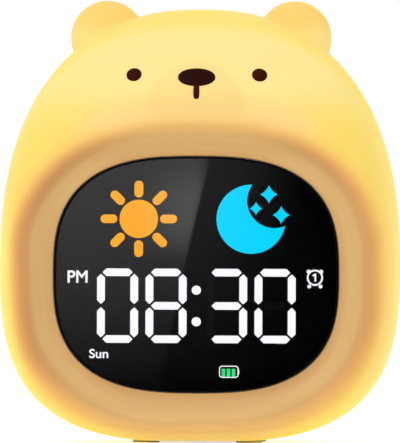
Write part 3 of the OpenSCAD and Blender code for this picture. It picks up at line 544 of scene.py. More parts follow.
with edited(skin.data) as form:
    bmesh.ops.remove_doubles(form, verts=form.verts, dist=0.01 * MM)
    for longest in (1.2, 0.7):
        close = {v for v in form.verts if v.co.z > 0.1 and near_crease(v.co / MM, FILLET * 1.5)}
        edges = [e for e in form.edges if e.calc_length() > longest * MM and any(v in close for v in e.verts)]
        bmesh.ops.subdivide_edges(form, edges=edges, cuts=1)
        bmesh.ops.triangulate(form, faces=[f for f in form.faces if len(f.verts) > 4])
    moved = 0
    for v in form.verts:
        p = v.co / MM
        if near_crease(p, FILLET * 1.6) and min(ear_distance(p), head_distance(p)) > -0.4:
            v.co = settle(p) * MM
            moved += 1
tidy(skin, 60)
print("crease points settled:", moved)

# %% [markdown]
# ## The lit silicone
#
# Silicone is soft, matt and slightly translucent. Lamps inside the head make it glow evenly, apart
# from a ring round the display, where the opaque housing stands behind it: there the skin shows
# its own tan, with a redder band where the light fades out. How far out a point lies follows from
# a superellipse in Object coordinates. That one number picks the tan from a ramp and turns up the
# glow, which is added as emission, so the lit and unlit parts stay one piece, as on the real clock.
# The ramp also holds painted shade, darker beside the lens and where the dish's wall turns away. On
# top go painted light on the lower dish and the lower left rim, painted shade on the left of the dish
# and under the brow, and painted shade in the glow round each ear and over the muzzle. The glow is
# also brighter and yellower low down, which is painted light from below. The light is palest on the
# forehead and deeper on the ears and the flanks. A fine parting line runs round the sides, where
# the two halves of the mould met.

# %% Glow of the silicone
GLOW_EDGE, HATCH_EDGE = (108.8, 92.2, 49.1, 2.5), (94.0, 84.0, 50.0, 3.0)
MUZZLE_EDGE = (29.0, 25.4, 101.1, 2.0)


def ring_reach(finish, shape):
    """How far out a point lies: 1 on the superellipse of a (width, height, middle, roundness)."""
    width, height, z, n = shape
    across = (finish.x.size() * (2 / width)).power(n)
    up = ((finish.z - z).size() * (2 / height)).power(n)
    return (across + up).power(1 / n)


def lit_silicone():
    finish = Finish("lit silicone", (0.68, 0.44, 0.17), 0.55, Subsurface_Weight=0.12, Subsurface_Scale=0.002,
                    Subsurface_Radius=(1.0, 0.55, 0.2), Specular_IOR_Level=0.25, Emission_Strength=1.0)
    x, y, z, mix = finish.x, finish.y, finish.z, finish.mix
    front, rear = y.smooth(-14.0, -30.0), y.smooth(14.0, 30.0)
    wander = (finish.noise(26.0, 1.0) - 0.5) * 0.05
    window = ring_reach(finish, GLOW_EDGE)
    shaded = (window + wander) * front + (1.0 - front) * 2.0
    behind = (ring_reach(finish, HATCH_EDGE) + wander) * rear + (1.0 - rear) * 2.0
    nearest = shaded.smaller(behind)
    # The tan ramp holds painted shade: darker beside the lens and where the dish's wall turns away.
    tan_and_shade_tones = ((0.78, (0.60, 0.335, 0.125)), (0.82, (0.69, 0.40, 0.15)), (0.86, (0.74, 0.47, 0.18)),
             (0.90, (0.75, 0.465, 0.175)), (0.94, (0.67, 0.37, 0.13)), (0.98, (0.71, 0.345, 0.11)),
             (1.12, (0.70, 0.44, 0.145)), (1.30, (0.71, 0.46, 0.15)))
    tan_and_shade = finish.ramp(nearest * 0.5, *((reach / 2, colour) for reach, colour in tan_and_shade_tones))
    # Painted light on the bottom of the dish, as if the glowing forehead lit it.
    lower_dish_light = z.smooth(20.0, 10.0) * nearest.smooth(0.92, 0.80) * 0.6
    # Painted light: a lighter tan low on the outer band of the dish.
    low_rim_light = z.smooth(26.0, 8.0) * nearest.smooth(0.91, 0.97) * 0.5
    # Painted shade: a darker, redder band on the left of the dish.
    left_side_shade = x.smooth(-30.0, -50.0) * nearest.smooth(0.90, 0.96) * nearest.smooth(1.05, 0.97) * 0.5
    # Painted shadow of the brow at the top of the dish.
    brow_shadow = z.smooth(82.0, 92.0) * nearest.smooth(0.97, 0.88) * 0.6
    tan_and_shade = mix(tan_and_shade, ((0.78, 0.46, 0.17), lower_dish_light), ((0.75, 0.46, 0.15), low_rim_light),
              ((0.60, 0.25, 0.08), left_side_shade), ((0.70, 0.37, 0.12), brow_shadow))

    from_ear = (x.size() - EAR_X).power(2.0) + (z - EAR_Z).power(2.0)
    # Painted shade: the glow dims in a soft halo round each ear, where it meets the head.
    ear_contact_shade = (from_ear + y * y).power(0.5).smooth(26.0, 12.0) * 0.6
    forehead = z.smooth(92.0, 110.0) * y.smooth(-18.0, -34.0) * (x.size().smooth(62.0, 24.0) * 0.6 + 0.4)
    brow = window.smooth(1.25, 1.08) * z.smooth(88.0, 96.0) * x.size().smooth(46.0, 24.0)
    # Painted shade: the glow dims over the muzzle, as its bump would be shaded.
    muzzle_shade = ring_reach(finish, MUZZLE_EDGE).smooth(1.12, 0.88) * z.smooth(93.0, 101.0)
    ears = from_ear.power(0.5).smooth(EAR_R + 1.5, EAR_R - 1.0)
    ears = ears * y.size().smooth(8.2, 6.4) * z.smooth(114.0, 122.0)
    ear_lamp = mix((0.30, 0.25, 0.05), ((0.28, 0.31, 0.11), y.smooth(-1.0, -5.5)),
                   ((0.27, 0.20, 0.02), z.smooth(121.0, 129.0)))
    lamp = mix(
        (0.29, 0.28, 0.0),
        ((0.32, 0.345, 0.155), forehead),
        ((0.28, 0.27, 0.11), brow * front),
        ((0.18, 0.12, 0.03), muzzle_shade * front * 0.25),
        ((0.20, 0.155, 0.0), y.smooth(-12.0, 6.0) * z.smooth(95.0, 10.0) * 0.7),
        ((0.30, 0.25, 0.05), ear_contact_shade),
        (ear_lamp, ears),
        # Painted light from below: a brighter, yellower glow low down.
        ((0.40, 0.345, 0.0), z.smooth(30.0, 4.0)),
    )
    ends = z.smooth(86.0, 97.0) + z.smooth(11.0, 1.0)
    # Painted light: a brighter, yellower glow on the lower left rim.
    left_rim_light = x.smooth(-44.0, -56.0) * z.smooth(80.0, 55.0) * nearest.smooth(0.98, 1.06)
    fringe = mix((0.27, 0.215, 0.025), ((0.28, 0.27, 0.075), ends), (lamp, nearest.smooth(0.98, 1.13)),
                 ((0.28, 0.36, 0.0), left_rim_light * front))
    # Painted light from below: a warmer glow on the lower dish.
    low = z.smooth(38.0, 14.0) * nearest.smooth(0.90, 0.98) * 0.55
    glow = mix((0.0, 0.0, 0.0), ((0.15, 0.145, 0.05), ends), ((0.18, 0.10, 0.03), low),
               (fringe, nearest.smooth(0.95, 1.06)))
    pores, parting_line = finish.noise(0.5, 2.0), y.size().smooth(0.35, 0.05)
    finish.set(Base_Color=tan_and_shade, Emission_Color=glow, Roughness=pores * 0.1 + finish.noise(14.0) * 0.1 + 0.45)
    return finish.bump(pores * 0.02 + parting_line * 0.1, 1.0)


def dress(obj, material, body, slot, *nodes):
    """Gives a piece its finish and its body, and hides the nodes it stands for; slot is not used."""
    obj.data.materials.clear()
    obj.data.materials.append(material)
    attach(obj, body)
    if nodes:
        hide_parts(*nodes)
    return obj


silicone = lit_silicone()
print("silicone glows outside", GLOW_EDGE[0], "x", GLOW_EDGE[1], "mm")

# %% [markdown]
# ## Base opening and seats in the skin
#
# The skin ends round the base cover underneath, and the eyes, nose and mouth sit in shallow
# moulded seats. These are cut with prisms, so that each opening has true walls and the studs show
# the hairline of shadow that a separate piece has. The mouth is tucked under the nose, so that the
# two read as one mark.

# %% Cuts in the skin
BASE_W, BASE_L, BASE_N, FLOOR_GAP = 44.0, 54.0, 4.0, 0.6


def level_ring(points, level):
    """A ring of 3-D points from its X and Y, and its height."""
    return np.column_stack([points, np.full(len(points), level)])


def base_outline(extra):
    """Outline of the base cover in X and Y, made larger by that much all round."""
    return opening(even_angles(128, BASE_N), (BASE_W, BASE_L, 0.0, BASE_N), extra)


def prism(name, points, low, high):
    """A vertical prism over a flat outline of X and Y."""
    return loft(name, [level_ring(points, level) for level in (low, high)])


carve(skin, prism("base hole", base_outline(FIT), -2.0, WAIST_Z / 2))
underside = np.array([(-80.0, -60.0), (80.0, -60.0), (80.0, 60.0), (-80.0, 60.0)])
carve(skin, prism("under floor", underside, -6.0, FLOOR_GAP))
print("base hole", BASE_W, "x", BASE_L, "mm")

# %% Where the face sits on the forehead
FACE_Z = TOP - 20.0
NOSE_W, NOSE_H, NOSE_Z = 11.1, 6.1, FACE_Z - 0.7
MOUTH_W, MOUTH_H, MOUTH_TUCK = 1.75, 4.45, 0.9
MOUTH_Z = NOSE_Z - NOSE_H / 2 - MOUTH_H / 2 + MOUTH_TUCK
EYE_X, EYE_D = 18.8, 4.5
STUD_RISE, STUD_SEAT, STUD_GAP = 0.7, 1.1, 0.08


def on_forehead(x, z):
    """Turn and place that puts +Z along the forehead's outward normal at x, z."""
    spots = [head.ray_cast(Vector((x + dx, -90, z + dz)), Vector((0, 1, 0)))[0]
             for dx, dz in ((0, 0), (1, 0), (-1, 0), (0, 1), (0, -1))]
    across, up = (spots[1] - spots[2]).normalized(), (spots[3] - spots[4]).normalized()
    out = across.cross(up).normalized()
    turn = Matrix((across, out.cross(across), out)).transposed().to_4x4()
    return Matrix.Translation(spots[0]) @ turn


def stud(name, x, shape, profile, extra=0.0, count=72):
    """A solid on the forehead whose profile is (share of its size, height above the skin)."""
    width, height, z, n = shape
    flat = opening(np.arange(count) * 2 * math.pi / count, (width, height, 0.0, n), extra)
    place = np.array(on_forehead(x, z))
    rings = [np.column_stack([flat * share, np.full(count, level), np.ones(count)]) @ place.T
             for share, level in profile]
    return loft(name, [ring[:, :3] for ring in rings])


def satin_brown(name, colour):
    """Hard satin plastic of the face, with a trace of orange peel."""
    finish = Finish(name, colour, Specular_IOR_Level=0.03)
    tint = finish.mix(colour, ([c * 1.5 for c in colour], finish.noise(3.0)))
    finish.set(Base_Color=tint, Roughness=finish.noise(1.2) * 0.12 + 0.26)
    return finish.bump(finish.noise(0.8), 0.02)


def join(name, objs):
    """One object from several, with its place in its mesh."""
    whole = link(name, bpy.data.meshes.new(name))
    with edited(whole.data) as form:
        for obj in objs:
            form.from_mesh(obj.data)
            bpy.data.objects.remove(obj)
    return crisp(whole)


face = {
    "eyes": ((-EYE_X, EYE_X), (EYE_D, EYE_D, FACE_Z, 2.0), (0.036, 0.004, 0.001)),
    "nose": ((0.0,), (NOSE_W, NOSE_H, NOSE_Z, 2.05), (0.018, 0.003, 0.001)),
    "mouth": ((0.0,), (MOUTH_W, MOUTH_H, MOUTH_Z, 3.5), (0.036, 0.003, 0.001)),
}
seat = [(1, -STUD_SEAT - 0.05), (1, 3.0)]
dome = [(1, -STUD_SEAT)] + arc(0, 0, 1, STUD_RISE, 0, QUARTER * 0.985, 16)
for name, (places, shape, colour) in face.items():
    for x in places:
        carve(skin, stud("pocket", x, shape, seat, STUD_GAP))
    studs = [stud("stud", x, shape, dome) for x in places]
    dress(join(name, studs), satin_brown(name, colour), "clock", "face_brown", name)
crisp(skin, 50)
dress(skin, silicone, "clock", "lit_silicone", "silicone_skin")
skin_triangles = sum(len(p.vertices) - 2 for p in skin.data.polygons)
print("face:", ", ".join(face), "- skin triangles:", skin_triangles)

# %% [markdown]
# ## The smoked lens
#
# The lens is a smoked acrylic plate with a faint crown and a small round edge, and a matt black
# border is printed along it to hide the seam. It is real glass here, so that the lit segments shine
# through it and it mirrors what stands in front of it. A studio puts a dark card there with a pale
# panel on one half, which gives black glass its soft diagonal sheen; only reflections see the card.
# Its borders fade to white, so that no hard line crosses the glass when the clock is turned.

# %% Lens
LENS_EDGE, LENS_BACK, LENS_CROWN, LENS_ROUND = -42.2, -39.8, 0.6, 0.2


def crowned_plate(name, steps=14):
    """Lens with a crown in front and a rounded front edge."""
    t = even_angles(AROUND)
    rings = []
    for share in [(k / steps) ** 0.8 for k in range(1, steps)] + [0.985, 0.997]:
        flat = opening(t, (LENS_W, LENS_H, 0.0, LENS_N)) * share * (1 - 2 * LENS_ROUND / LENS_H)
        rings.append(ring_at(flat + (0, DISPLAY_Z), LENS_EDGE - LENS_CROWN * (1 - share * share)))
    rings += round_edge(t, LENS, 0.0, LENS_EDGE, -LENS_ROUND, 1, np.linspace(0.1, QUARTER, 7))
    return loft(name, rings + [ring_at(opening(t, LENS), LENS_BACK)])


def smoked_acrylic():
    """Smoked acrylic with a matt black border printed along its edge."""
    finish = Finish("smoked acrylic", IOR=1.49)
    cloud = finish.noise(20.0)
    border = ring_reach(finish, LENS).above(0.985)
    clear = 1.0 - border
    smoke = finish.mix((0.27, 0.27, 0.29), ((0.31, 0.31, 0.33), cloud), ((0.003, 0.003, 0.003), border))
    return finish.set(Base_Color=smoke, Transmission_Weight=clear, Specular_IOR_Level=clear * 0.5,
                      Roughness=cloud * 0.02 + border * 0.4 + 0.01)


dress(crowned_plate("display_lens"), smoked_acrylic(), "clock", "smoked_lens", "display_lens")
print("lens crown", LENS_CROWN, "mm")

# %% Card that the lens mirrors
CARD_DISTANCE, CARD_W, CARD_H = 0.12, 0.24, 0.16


def card_light():
    """A bright panel with a streak on the left, a dim one on the right, and borders that fade."""
    card = Finish("gloss card", (0, 0, 0), 1.0, Specular_IOR_Level=0.0, Emission_Color=(1.0, 0.99, 0.98))
    x, z = card.x, card.z
    edge = x + (z - 80.0) * -0.19 + 2.4
    left = edge.smooth(0.6, -0.6)
    pale = (z - x * 0.25).smooth(1.0, 105.0) * 0.9
    streak = edge.smooth(-24.0, -1.0) * z.smooth(53.0, 69.0) * z.smooth(93.0, 78.0) * 0.85
    dim = (1.0 - left) * edge.smooth(40.0, 0.0) * z.smooth(-5.0, 100.0) * 0.3
    border = z.smooth(6.5, 0.5).larger(x.size().smooth(65.0, 118.0))
    return card.set(Emission_Strength=(left * (pale + streak) + dim) * (1.0 - border) + border)


card_y = FACE_Y * MM - CARD_DISTANCE
corners = [(side * CARD_W / 2, card_y, z) for side, z in ((-1, MM), (1, MM), (1, CARD_H), (-1, CARD_H))]
card = stage_sheet("gloss card", corners, card_light())
for ray in ("camera", "diffuse", "volume_scatter", "shadow"):
    setattr(card, f"visible_{ray}", False)
print("card", CARD_DISTANCE, "m in front of the lens")

# %% [markdown]
# ## Growing repeated shapes with Geometry Nodes
#
# Segments, rays, grille holes and screws repeat, so each is a small node tree: draw the outline
# once, fill it, give it depth and set it on points. This helper writes a tree as a list of calls,
# gives it named inputs, and at the end turns what it made into a plain mesh.

# %% A Geometry Nodes tree
class Grower(Tree):
    """A Geometry Nodes tree with named inputs, written call by call."""

    def __init__(self, name, **sizes):
        self.tree = bpy.data.node_groups.new(name, "GeometryNodeTree")
        self.tree.interface.new_socket("Geometry", in_out="OUTPUT", socket_type="NodeSocketGeometry")
        kinds = {bpy.types.Material: "NodeSocketMaterial", bpy.types.Object: "NodeSocketObject"}
        self.values = {}
        for label, value in sizes.items():
            kind = kinds.get(type(value), "NodeSocketFloat")
            socket = self.tree.interface.new_socket(label, in_out="INPUT", socket_type=kind)
            self.values[socket.identifier] = value
        self.sockets = {s.name: s for s in self.tree.nodes.new("NodeGroupInput").outputs if s.name}

    def sizes(self, *labels):
        """The tree's own inputs by their names, ready for arithmetic."""
        return [Field(self.tree, self.sockets[label]) for label in labels]

    def node(self, kind, *values, **named):
        """Adds a node of Geometry Nodes and returns its first output."""
        return self.add(f"GeometryNode{kind}", *values, **named)[0]

    def position(self):
        split = self.add("ShaderNodeSeparateXYZ", self.node("InputPosition"))
        return Field(self.tree, split["X"]), Field(self.tree, split["Y"])

    def point(self, x=0.0, y=0.0, z=0.0):
        return self.add("ShaderNodeCombineXYZ", x, y, z)[0]

    def join(self, *shapes):
        node = self.tree.nodes.new("GeometryNodeJoinGeometry")
        for shape in reversed(shapes):
            self.tree.links.new(shape, node.inputs[0])
        return node.outputs[0]

    def fuse(self, *solids):
        """One solid from several that overlap, so that no two of its faces lie in one place."""
        node = self.tree.nodes.new("GeometryNodeMeshBoolean")
        node.operation, node.solver = "UNION", "EXACT"
        for solid in solids:
            self.tree.links.new(solid, node.inputs["Mesh 2"])
        return node.outputs["Mesh"]

    def circle(self, radius, count=40):
        return self.node("CurvePrimitiveCircle", Resolution=count, Radius=radius)

    def box(self, width, height):
        return self.node("CurvePrimitiveQuadrilateral", Width=width, Height=height, mode="RECTANGLE")

    def rounded(self, curve, radius, count=4):
        """A curve with its corners rounded."""
        return self.node("FilletCurve", curve, Radius=radius, Count=count, Limit_Radius=True, mode="POLY")

    def moved(self, shape, x=0.0, y=0.0, turn=0.0):
        """The shape turned in its plane and put at x, y."""
        return self.node("Transform", shape, Translation=self.point(x, y), Rotation=(0.0, 0.0, turn))

    def slab(self, curve):
        """A closed solid: the filled outline, as deep as the tree's own Depth along +Z."""
        flat = self.node("FillCurve", curve, mode="TRIANGLES")
        raised = self.node("ExtrudeMesh", flat, Offset=self.point(z=1.0),
                           Offset_Scale=self.sockets["Depth"], Individual=False)
        both = self.join(raised, self.node("FlipFaces", flat))
        return self.node("MergeByDistance", both, Distance=0.001)

    def repeat(self, points, shape, turn=(0.0, 0.0, 0.0), scale=1.0):
        """The shape on every point."""
        return self.node("InstanceOnPoints", points, Instance=shape, Rotation=turn, Scale=(scale,) * 3)

    def grow(self, name, shape, x, y, z, lie=QUARTER):
        """The plain mesh of a shape, stood up at x, y, z in millimetres and given its Finish."""
        stand = self.node("Transform", self.node("RealizeInstances", shape), Rotation=(lie, 0.0, 0.0),
                          Scale=(MM, MM, MM), Translation=(x * MM, y * MM, z * MM))
        self.add("NodeGroupOutput", self.node("SetMaterial", stand, Material=self.sockets["Finish"]))
        seed = link("seed", bpy.data.meshes.new("seed"))
        modifier = seed.modifiers.new("grow", "NODES")
        modifier.node_group = self.tree
        for identifier, value in self.values.items():
            modifier[identifier] = value
        grown = settled(seed)
        grown.name = name
        bpy.data.objects.remove(seed)
        return tidy(link(name, grown))


print("node trees ready to grow")

# %% [markdown]
# ## Digits
#
# Each digit has seven light pipes with pointed ends, of two lengths. One six-sided outline makes
# each bar, set on three points for the level bars and four for the upright ones. A segment that is
# off is the same pipe without its lamp, so the tree stores that on the instance as an attribute,
# and the material turns the light down where it is set.

# %% Light pipes
PIPE_FRONT, PIPE_T, PIPE_LIGHT = -39.1, 2.5, 3.6
PIPE_BACK = PIPE_FRONT + PIPE_T
WHITE = (1.0, 1.0, 1.0)
DIGIT_W, DIGIT_H, SEGMENT_T, SEGMENT_CORNER, TIP_GAP = 12.2, 22.2, 2.25, 0.22, 0.5
DIGIT_X, DIGIT_Z = (-23.55, -9.05, 9.05, 23.55), 41.15
HEXAGON = 0.5774  # half a bar's thickness over the height of a hexagon's upper corner


def light_pipe(name, colour=WHITE, power=PIPE_LIGHT, off=None):
    """Milky plastic with a lamp behind it; off is the attribute of a pipe whose lamp is out."""
    finish = Finish(name, (0.015, 0.015, 0.016), 0.4, Emission_Color=colour)
    level = finish.noise(2.5) * 0.06 + 0.97
    if off:
        dark = Field(finish.tree, finish.add("ShaderNodeAttribute", attribute_name=off)["Fac"])
        level = level * (1.0 - dark * 0.998)
    finish.set(Emission_Strength=level * power)
    return finish.bump(finish.noise(0.4), 0.01)


white_pipe = light_pipe("white light pipe", off="dark")


def grow_digit(name, x, middle_off, left_off):
    grow = Grower(name, Width=DIGIT_W, Height=DIGIT_H, Thickness=SEGMENT_T, Gap=TIP_GAP, Depth=PIPE_T,
                  Corner=SEGMENT_CORNER, Middle_off=middle_off, Left_off=left_off, Finish=white_pipe)
    wide, high, thick, gap = grow.sizes("Width", "Height", "Thickness", "Gap")
    corner, middle_dark, left_dark = grow.sizes("Corner", "Middle_off", "Left_off")
    column, row = (wide - thick) * 0.5, (high - thick) * 0.5

    def bar(length, upright):
        u, v = grow.position()
        along = u.math("SIGN") * (length * 0.5 - v.size() * thick * HEXAGON)
        across = v * thick * HEXAGON
        place = grow.point(across, along) if upright else grow.point(along, across)
        drawn = grow.node("SetPosition", grow.circle(1.0, 6), Position=place)
        return grow.slab(grow.rounded(drawn, corner))

    def marked(instances, off):
        return grow.node("StoreNamedAttribute", instances, Name="dark", Value=off,
                         domain="INSTANCE", data_type="FLOAT")

    line = grow.node("MeshLine", Count=3, Start_Location=grow.point(y=row * -1.0), Offset=grow.point(y=row))
    corners = grow.node("MeshGrid", column * 2.0, row, 2, 2)
    is_middle = 1.0 - (Field(grow.tree, grow.node("InputIndex")) - 1.0).size().above(0.5)
    is_left = 1.0 - grow.position()[0].above(0.0)
    levels = marked(grow.repeat(line, bar((column - gap) * 2.0, False)), is_middle * middle_dark)
    uprights = marked(grow.repeat(corners, bar(row - gap * 2.0, True)), is_left * left_dark)
    return grow.grow(name, grow.join(levels, uprights), x, PIPE_BACK, DIGIT_Z)


shown = ((1.0, 0.0), (0.0, 0.0), (0.0, 1.0), (1.0, 0.0))
for k, (x, (middle_off, left_off)) in enumerate(zip(DIGIT_X, shown), 1):
    digit = grow_digit(f"digit_{k}", x, middle_off, left_off)
    dress(digit, white_pipe, "clock", "white_pipe", f"digit_{k}")
    print(digit.name, len(digit.data.polygons), "faces")

# %% [markdown]
# ## Sun, moon and small icons
#
# The sun is a disc with eight round-ended rays on a circle, so it is grown the same way. The moon,
# the colon and the battery bars keep their solid shapes and only get the finish of a lit pipe.

# %% Sun
SUN_X, ICON_Z, SUN_R, SUN_REACH, RAY_W, RAY_GAP = -17.3, 67.1, 5.7, 11.4, 2.55, 0.7
amber_pipe = light_pipe("amber light pipe", (1.0, 0.402, 0.0))


def grow_sun():
    grow = Grower("sun", Disc=SUN_R, Reach=SUN_REACH, Ray=RAY_W, Depth=PIPE_T, Finish=amber_pipe)
    radius, reach, width = grow.sizes("Disc", "Reach", "Ray")
    start = radius + RAY_GAP
    length = reach - start
    ray = grow.slab(grow.rounded(grow.box(length, width), width * 0.499, 10))
    ring = grow.node("MeshCircle", Vertices=8, Radius=start + length * 0.5)
    u, v = grow.position()
    rays = grow.repeat(ring, ray, grow.point(z=v.math("ARCTAN2", u)))
    disc = grow.slab(grow.circle(radius, 72))
    return grow.grow("sun_icon", grow.join(disc, rays), SUN_X, PIPE_BACK, ICON_Z)


sun = dress(grow_sun(), amber_pipe, "clock", "amber_pipe", "sun_icon")
print("sun:", len(sun.data.polygons), "faces")

# %% Finishes of the pipes that keep their solid shapes
def refinish(material, *names):
    """Gives CAD solids a better finish; their shapes stay."""
    for name in names:
        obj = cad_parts[name]
        for slot in obj.material_slots:
            slot.material = material
        if not obj.material_slots:
            obj.data.materials.append(material)


refinish(light_pipe("colon light pipe"), "colon_dots")
refinish(light_pipe("cyan light pipe", (0.0, 0.686, 1.0)), "moon_icon")
refinish(light_pipe("green light pipe", (0.05, 0.74, 0.21)), "battery_icon")
refinish(light_pipe("masked light pipe", power=0.001), "alarm_icon")
refinish(moulded("black reflector", (0.006, 0.006, 0.0065), 0.6, grain=0.6), "segment_reflector")
print("pipes and reflector finished")

# %% [markdown]
# ## Gasket
#
# A thin black foam frame seals the lens, and its inner edge reaches over the gap between the
# reflector and the housing, so that no pale plastic shows beside the display.

# %% Foam gasket
GASKET_FRONT, GASKET_BACK = -39.72, -39.3
GASKET_IN, GASKET_OUT = (74.4, 62.0, DISPLAY_Z, LENS_N), (LENS_W - 1, LENS_H - 1, DISPLAY_Z, LENS_N)
corners = ((GASKET_IN, GASKET_BACK), (GASKET_IN, GASKET_FRONT),
           (GASKET_OUT, GASKET_FRONT), (GASKET_OUT, GASKET_BACK))
gasket = loft("lens_gasket", [ring_at(opening(even_angles(AROUND), shape), y) for shape, y in corners],
              closed=True)
foam = moulded("foam gasket", (0.008, 0.008, 0.008), 0.85, grain=0.25, depth=0.08)
dress(gasket, foam, "clock", "black_foam", "lens_gasket")
print("gasket", round(GASKET_BACK - GASKET_FRONT, 2), "mm thick")

# %% [markdown]
# ## Printed film
#
# Behind the lens lies a film that is black but for a few clear windows: two words, a battery frame
# and a small alarm clock. Only what is clear lights up, so each is made as a thin bright piece. The
# letters are text curves turned into meshes and scaled to their printed size.

# %% Printed words
FILM_FRONT, FILM_T = -39.79, 0.04
FILM_BACK = FILM_FRONT + FILM_T
film_light = light_pipe("printed film light")


def embolden(mesh, amount, merge=0.006):
    """Moves the walls of upright letters outwards, after joining the points that nearly touch."""
    with edited(mesh) as form:
        bmesh.ops.remove_doubles(form, verts=form.verts, dist=merge)
        bmesh.ops.recalc_face_normals(form, faces=form.faces)
        for vertex in form.verts:
            walls = [face.normal for face in vertex.link_faces if abs(face.normal.z) < 0.5]
            if len(walls) == 2:
                vertex.co += (walls[0] + walls[1]) * (amount / max(0.4, 1 + walls[0].dot(walls[1])))


def lettering(text, width, height, x, z, weight):
    """A word as a thin mesh of that size, with its middle at x, z."""
    curve = bpy.data.curves.new(text, "FONT")
    curve.body, curve.extrude, curve.resolution_u = text, 0.5, 6
    drawn = link(text, curve)
    mesh = settled(drawn)
    bpy.data.objects.remove(drawn)
    embolden(mesh, weight)
    points = np.array([v.co for v in mesh.vertices])
    low, high = points.min(axis=0), points.max(axis=0)
    flat = (points - (low + high) / 2) / (high - low) * (width, height, FILM_T)
    for vertex, (u, v, w) in zip(mesh.vertices, flat):
        vertex.co = ((x + u) * MM, (FILM_FRONT + FILM_T / 2 - w) * MM, (z + v) * MM)
    return tidy(link(text, mesh))


words = [lettering("PM", 6.0, 3.7, -35.5, 49.8, 0.018), lettering("Sun", 5.7, 2.75, -29.1, 26.8, 0.014)]
dress(join("printed_words", words), film_light, "clock", "white_pipe")
print("words printed:", len(words))

# %% Alarm and battery signs
ALARM_X, ALARM_Z, ALARM_R = 35.5, 49.7, 2.42
BATTERY_X, BATTERY_Z, BATTERY_W, BATTERY_H = 9.85, 21.5, 5.8, 3.6


def grow_alarm():
    """A dial with a one on it, two bells above it and two feet below."""
    grow = Grower("alarm sign", Dial=ALARM_R, Line=0.5, Bell=0.62, Foot=0.56, Depth=FILM_T, Finish=film_light)
    dial, line, bell, foot = grow.sizes("Dial", "Line", "Bell", "Foot")

    def stroke(length, x, y, turn):
        return grow.slab(grow.moved(grow.box(length, line), x, y, turn))

    parts = [grow.slab(grow.join(grow.circle(dial), grow.circle(dial - line))),
             stroke(2.3, 0.12, 0.0, QUARTER), stroke(1.0, -0.22, 0.82, 0.6)]
    for side in (-1.0, 1.0):
        parts.append(grow.slab(grow.moved(grow.circle(bell), dial * side * 0.77, dial * 0.74)))
        parts.append(grow.slab(grow.moved(grow.circle(foot), dial * side * 0.7, dial * -1.08)))
    return grow.grow("alarm_sign", grow.fuse(*parts), ALARM_X, FILM_BACK, ALARM_Z)


def grow_battery():
    """The rounded frame of a battery, with its nub."""
    grow = Grower("battery sign", Width=BATTERY_W, Height=BATTERY_H, Line=0.28, Corner=0.9, Depth=FILM_T,
                  Finish=film_light)
    wide, high, line, corner = grow.sizes("Width", "Height", "Line", "Corner")
    inside = grow.box(wide - line * 2.0, high - line * 2.0)
    outlines = grow.join(grow.rounded(grow.box(wide, high), corner, 6),
                         grow.rounded(inside, corner - line * 0.8, 6))
    nub = grow.moved(grow.box(line * 0.7, high * 0.42), wide * 0.5 + line * 0.3)
    shape = grow.fuse(grow.slab(outlines), grow.slab(nub))
    return grow.grow("battery_frame", shape, BATTERY_X, FILM_BACK, BATTERY_Z)


for sign in (grow_alarm(), grow_battery()):
    dress(sign, film_light, "clock", "white_pipe")
    print(sign.name, len(sign.data.polygons), "faces")

# %% [markdown]
# ## Rear panel
#
# The hatch behind is a flat injection-moulded panel. Its grille is a hexagonal pattern of small
# holes, all with a rounded mouth, because a sharp mouth would show flash. One hole is turned once,
# as a solid to cut with, and Geometry Nodes sets it on a grid whose every second row is shifted.

# %% Shapes for the rear
PANEL_FACE, PANEL_T, PANEL_ROUND = 43.7, 2.4, 0.6
GRILLE_Z, GRILLE_D, GRILLE_PITCH, GRILLE_REACH = 60.0, 1.6, 3.0, 11.7
BUTTON_Z, BUTTON_D, BUTTON_PITCH = 39.0, 8.6, 12.0
CONTROL_Z, RECESS_X, SLOT_X, KNOB_X = 28.5, 10.0, -14.0, -15.0
PANEL_SCREWS = {"Across": 55.0, "Along": 37.0}


def pill(width, height, radius, x=0.0, z=0.0, steps=8):
    """Outline of a rectangle with round corners, in X and Z."""
    points = []
    for k, (sx, sz) in enumerate(((1, 1), (-1, 1), (-1, -1), (1, -1))):
        middle = x + sx * (width / 2 - radius), z + sz * (height / 2 - radius)
        points += arc(*middle, radius, radius, QUARTER * k, QUARTER * (k + 1), steps + 1)
    return np.array(points)


def block(name, *levels):
    """A solid along Y from (outline, depth) pairs."""
    return loft(name, [ring_at(points, y) for points, y in levels])


def well(name, x, *steps):
    """A solid of pill outlines at x, each step being (width, height, corner radius, depth)."""
    return block(name, *((pill(w, h, r, x, CONTROL_Z), y) for w, h, r, y in steps))


def hole_cutter(radius, mouth, steps, deep=3.2, proud=0.6):
    """Cutting solid for a round hole whose mouth, at the face, is rounded by that much."""
    rounding = arc(radius + mouth, -mouth, -mouth, mouth, 0, QUARTER, 4)
    return turned("hole", [(radius, -deep)] + rounding + [(radius + mouth, proud)], steps)


def set_out(name, shape, plan, material, x, y, z, stand=True, **sizes):
    """One mesh with the shape on each point of a plan; a standing plan lies in X and Z."""
    grow = Grower(name, Shape=shape, Finish=material, **sizes)
    points = grow.node("Transform", plan(grow), Rotation=(QUARTER if stand else 0.0, 0.0, 0.0))
    mould = grow.add("GeometryNodeObjectInfo", grow.sockets["Shape"])["Geometry"]
    placed = grow.repeat(points, mould, (0.0 if stand else -QUARTER, 0.0, 0.0), 1 / MM)
    made = grow.grow(name, placed, x, y, z, lie=0.0)
    bpy.data.objects.remove(shape)
    return made


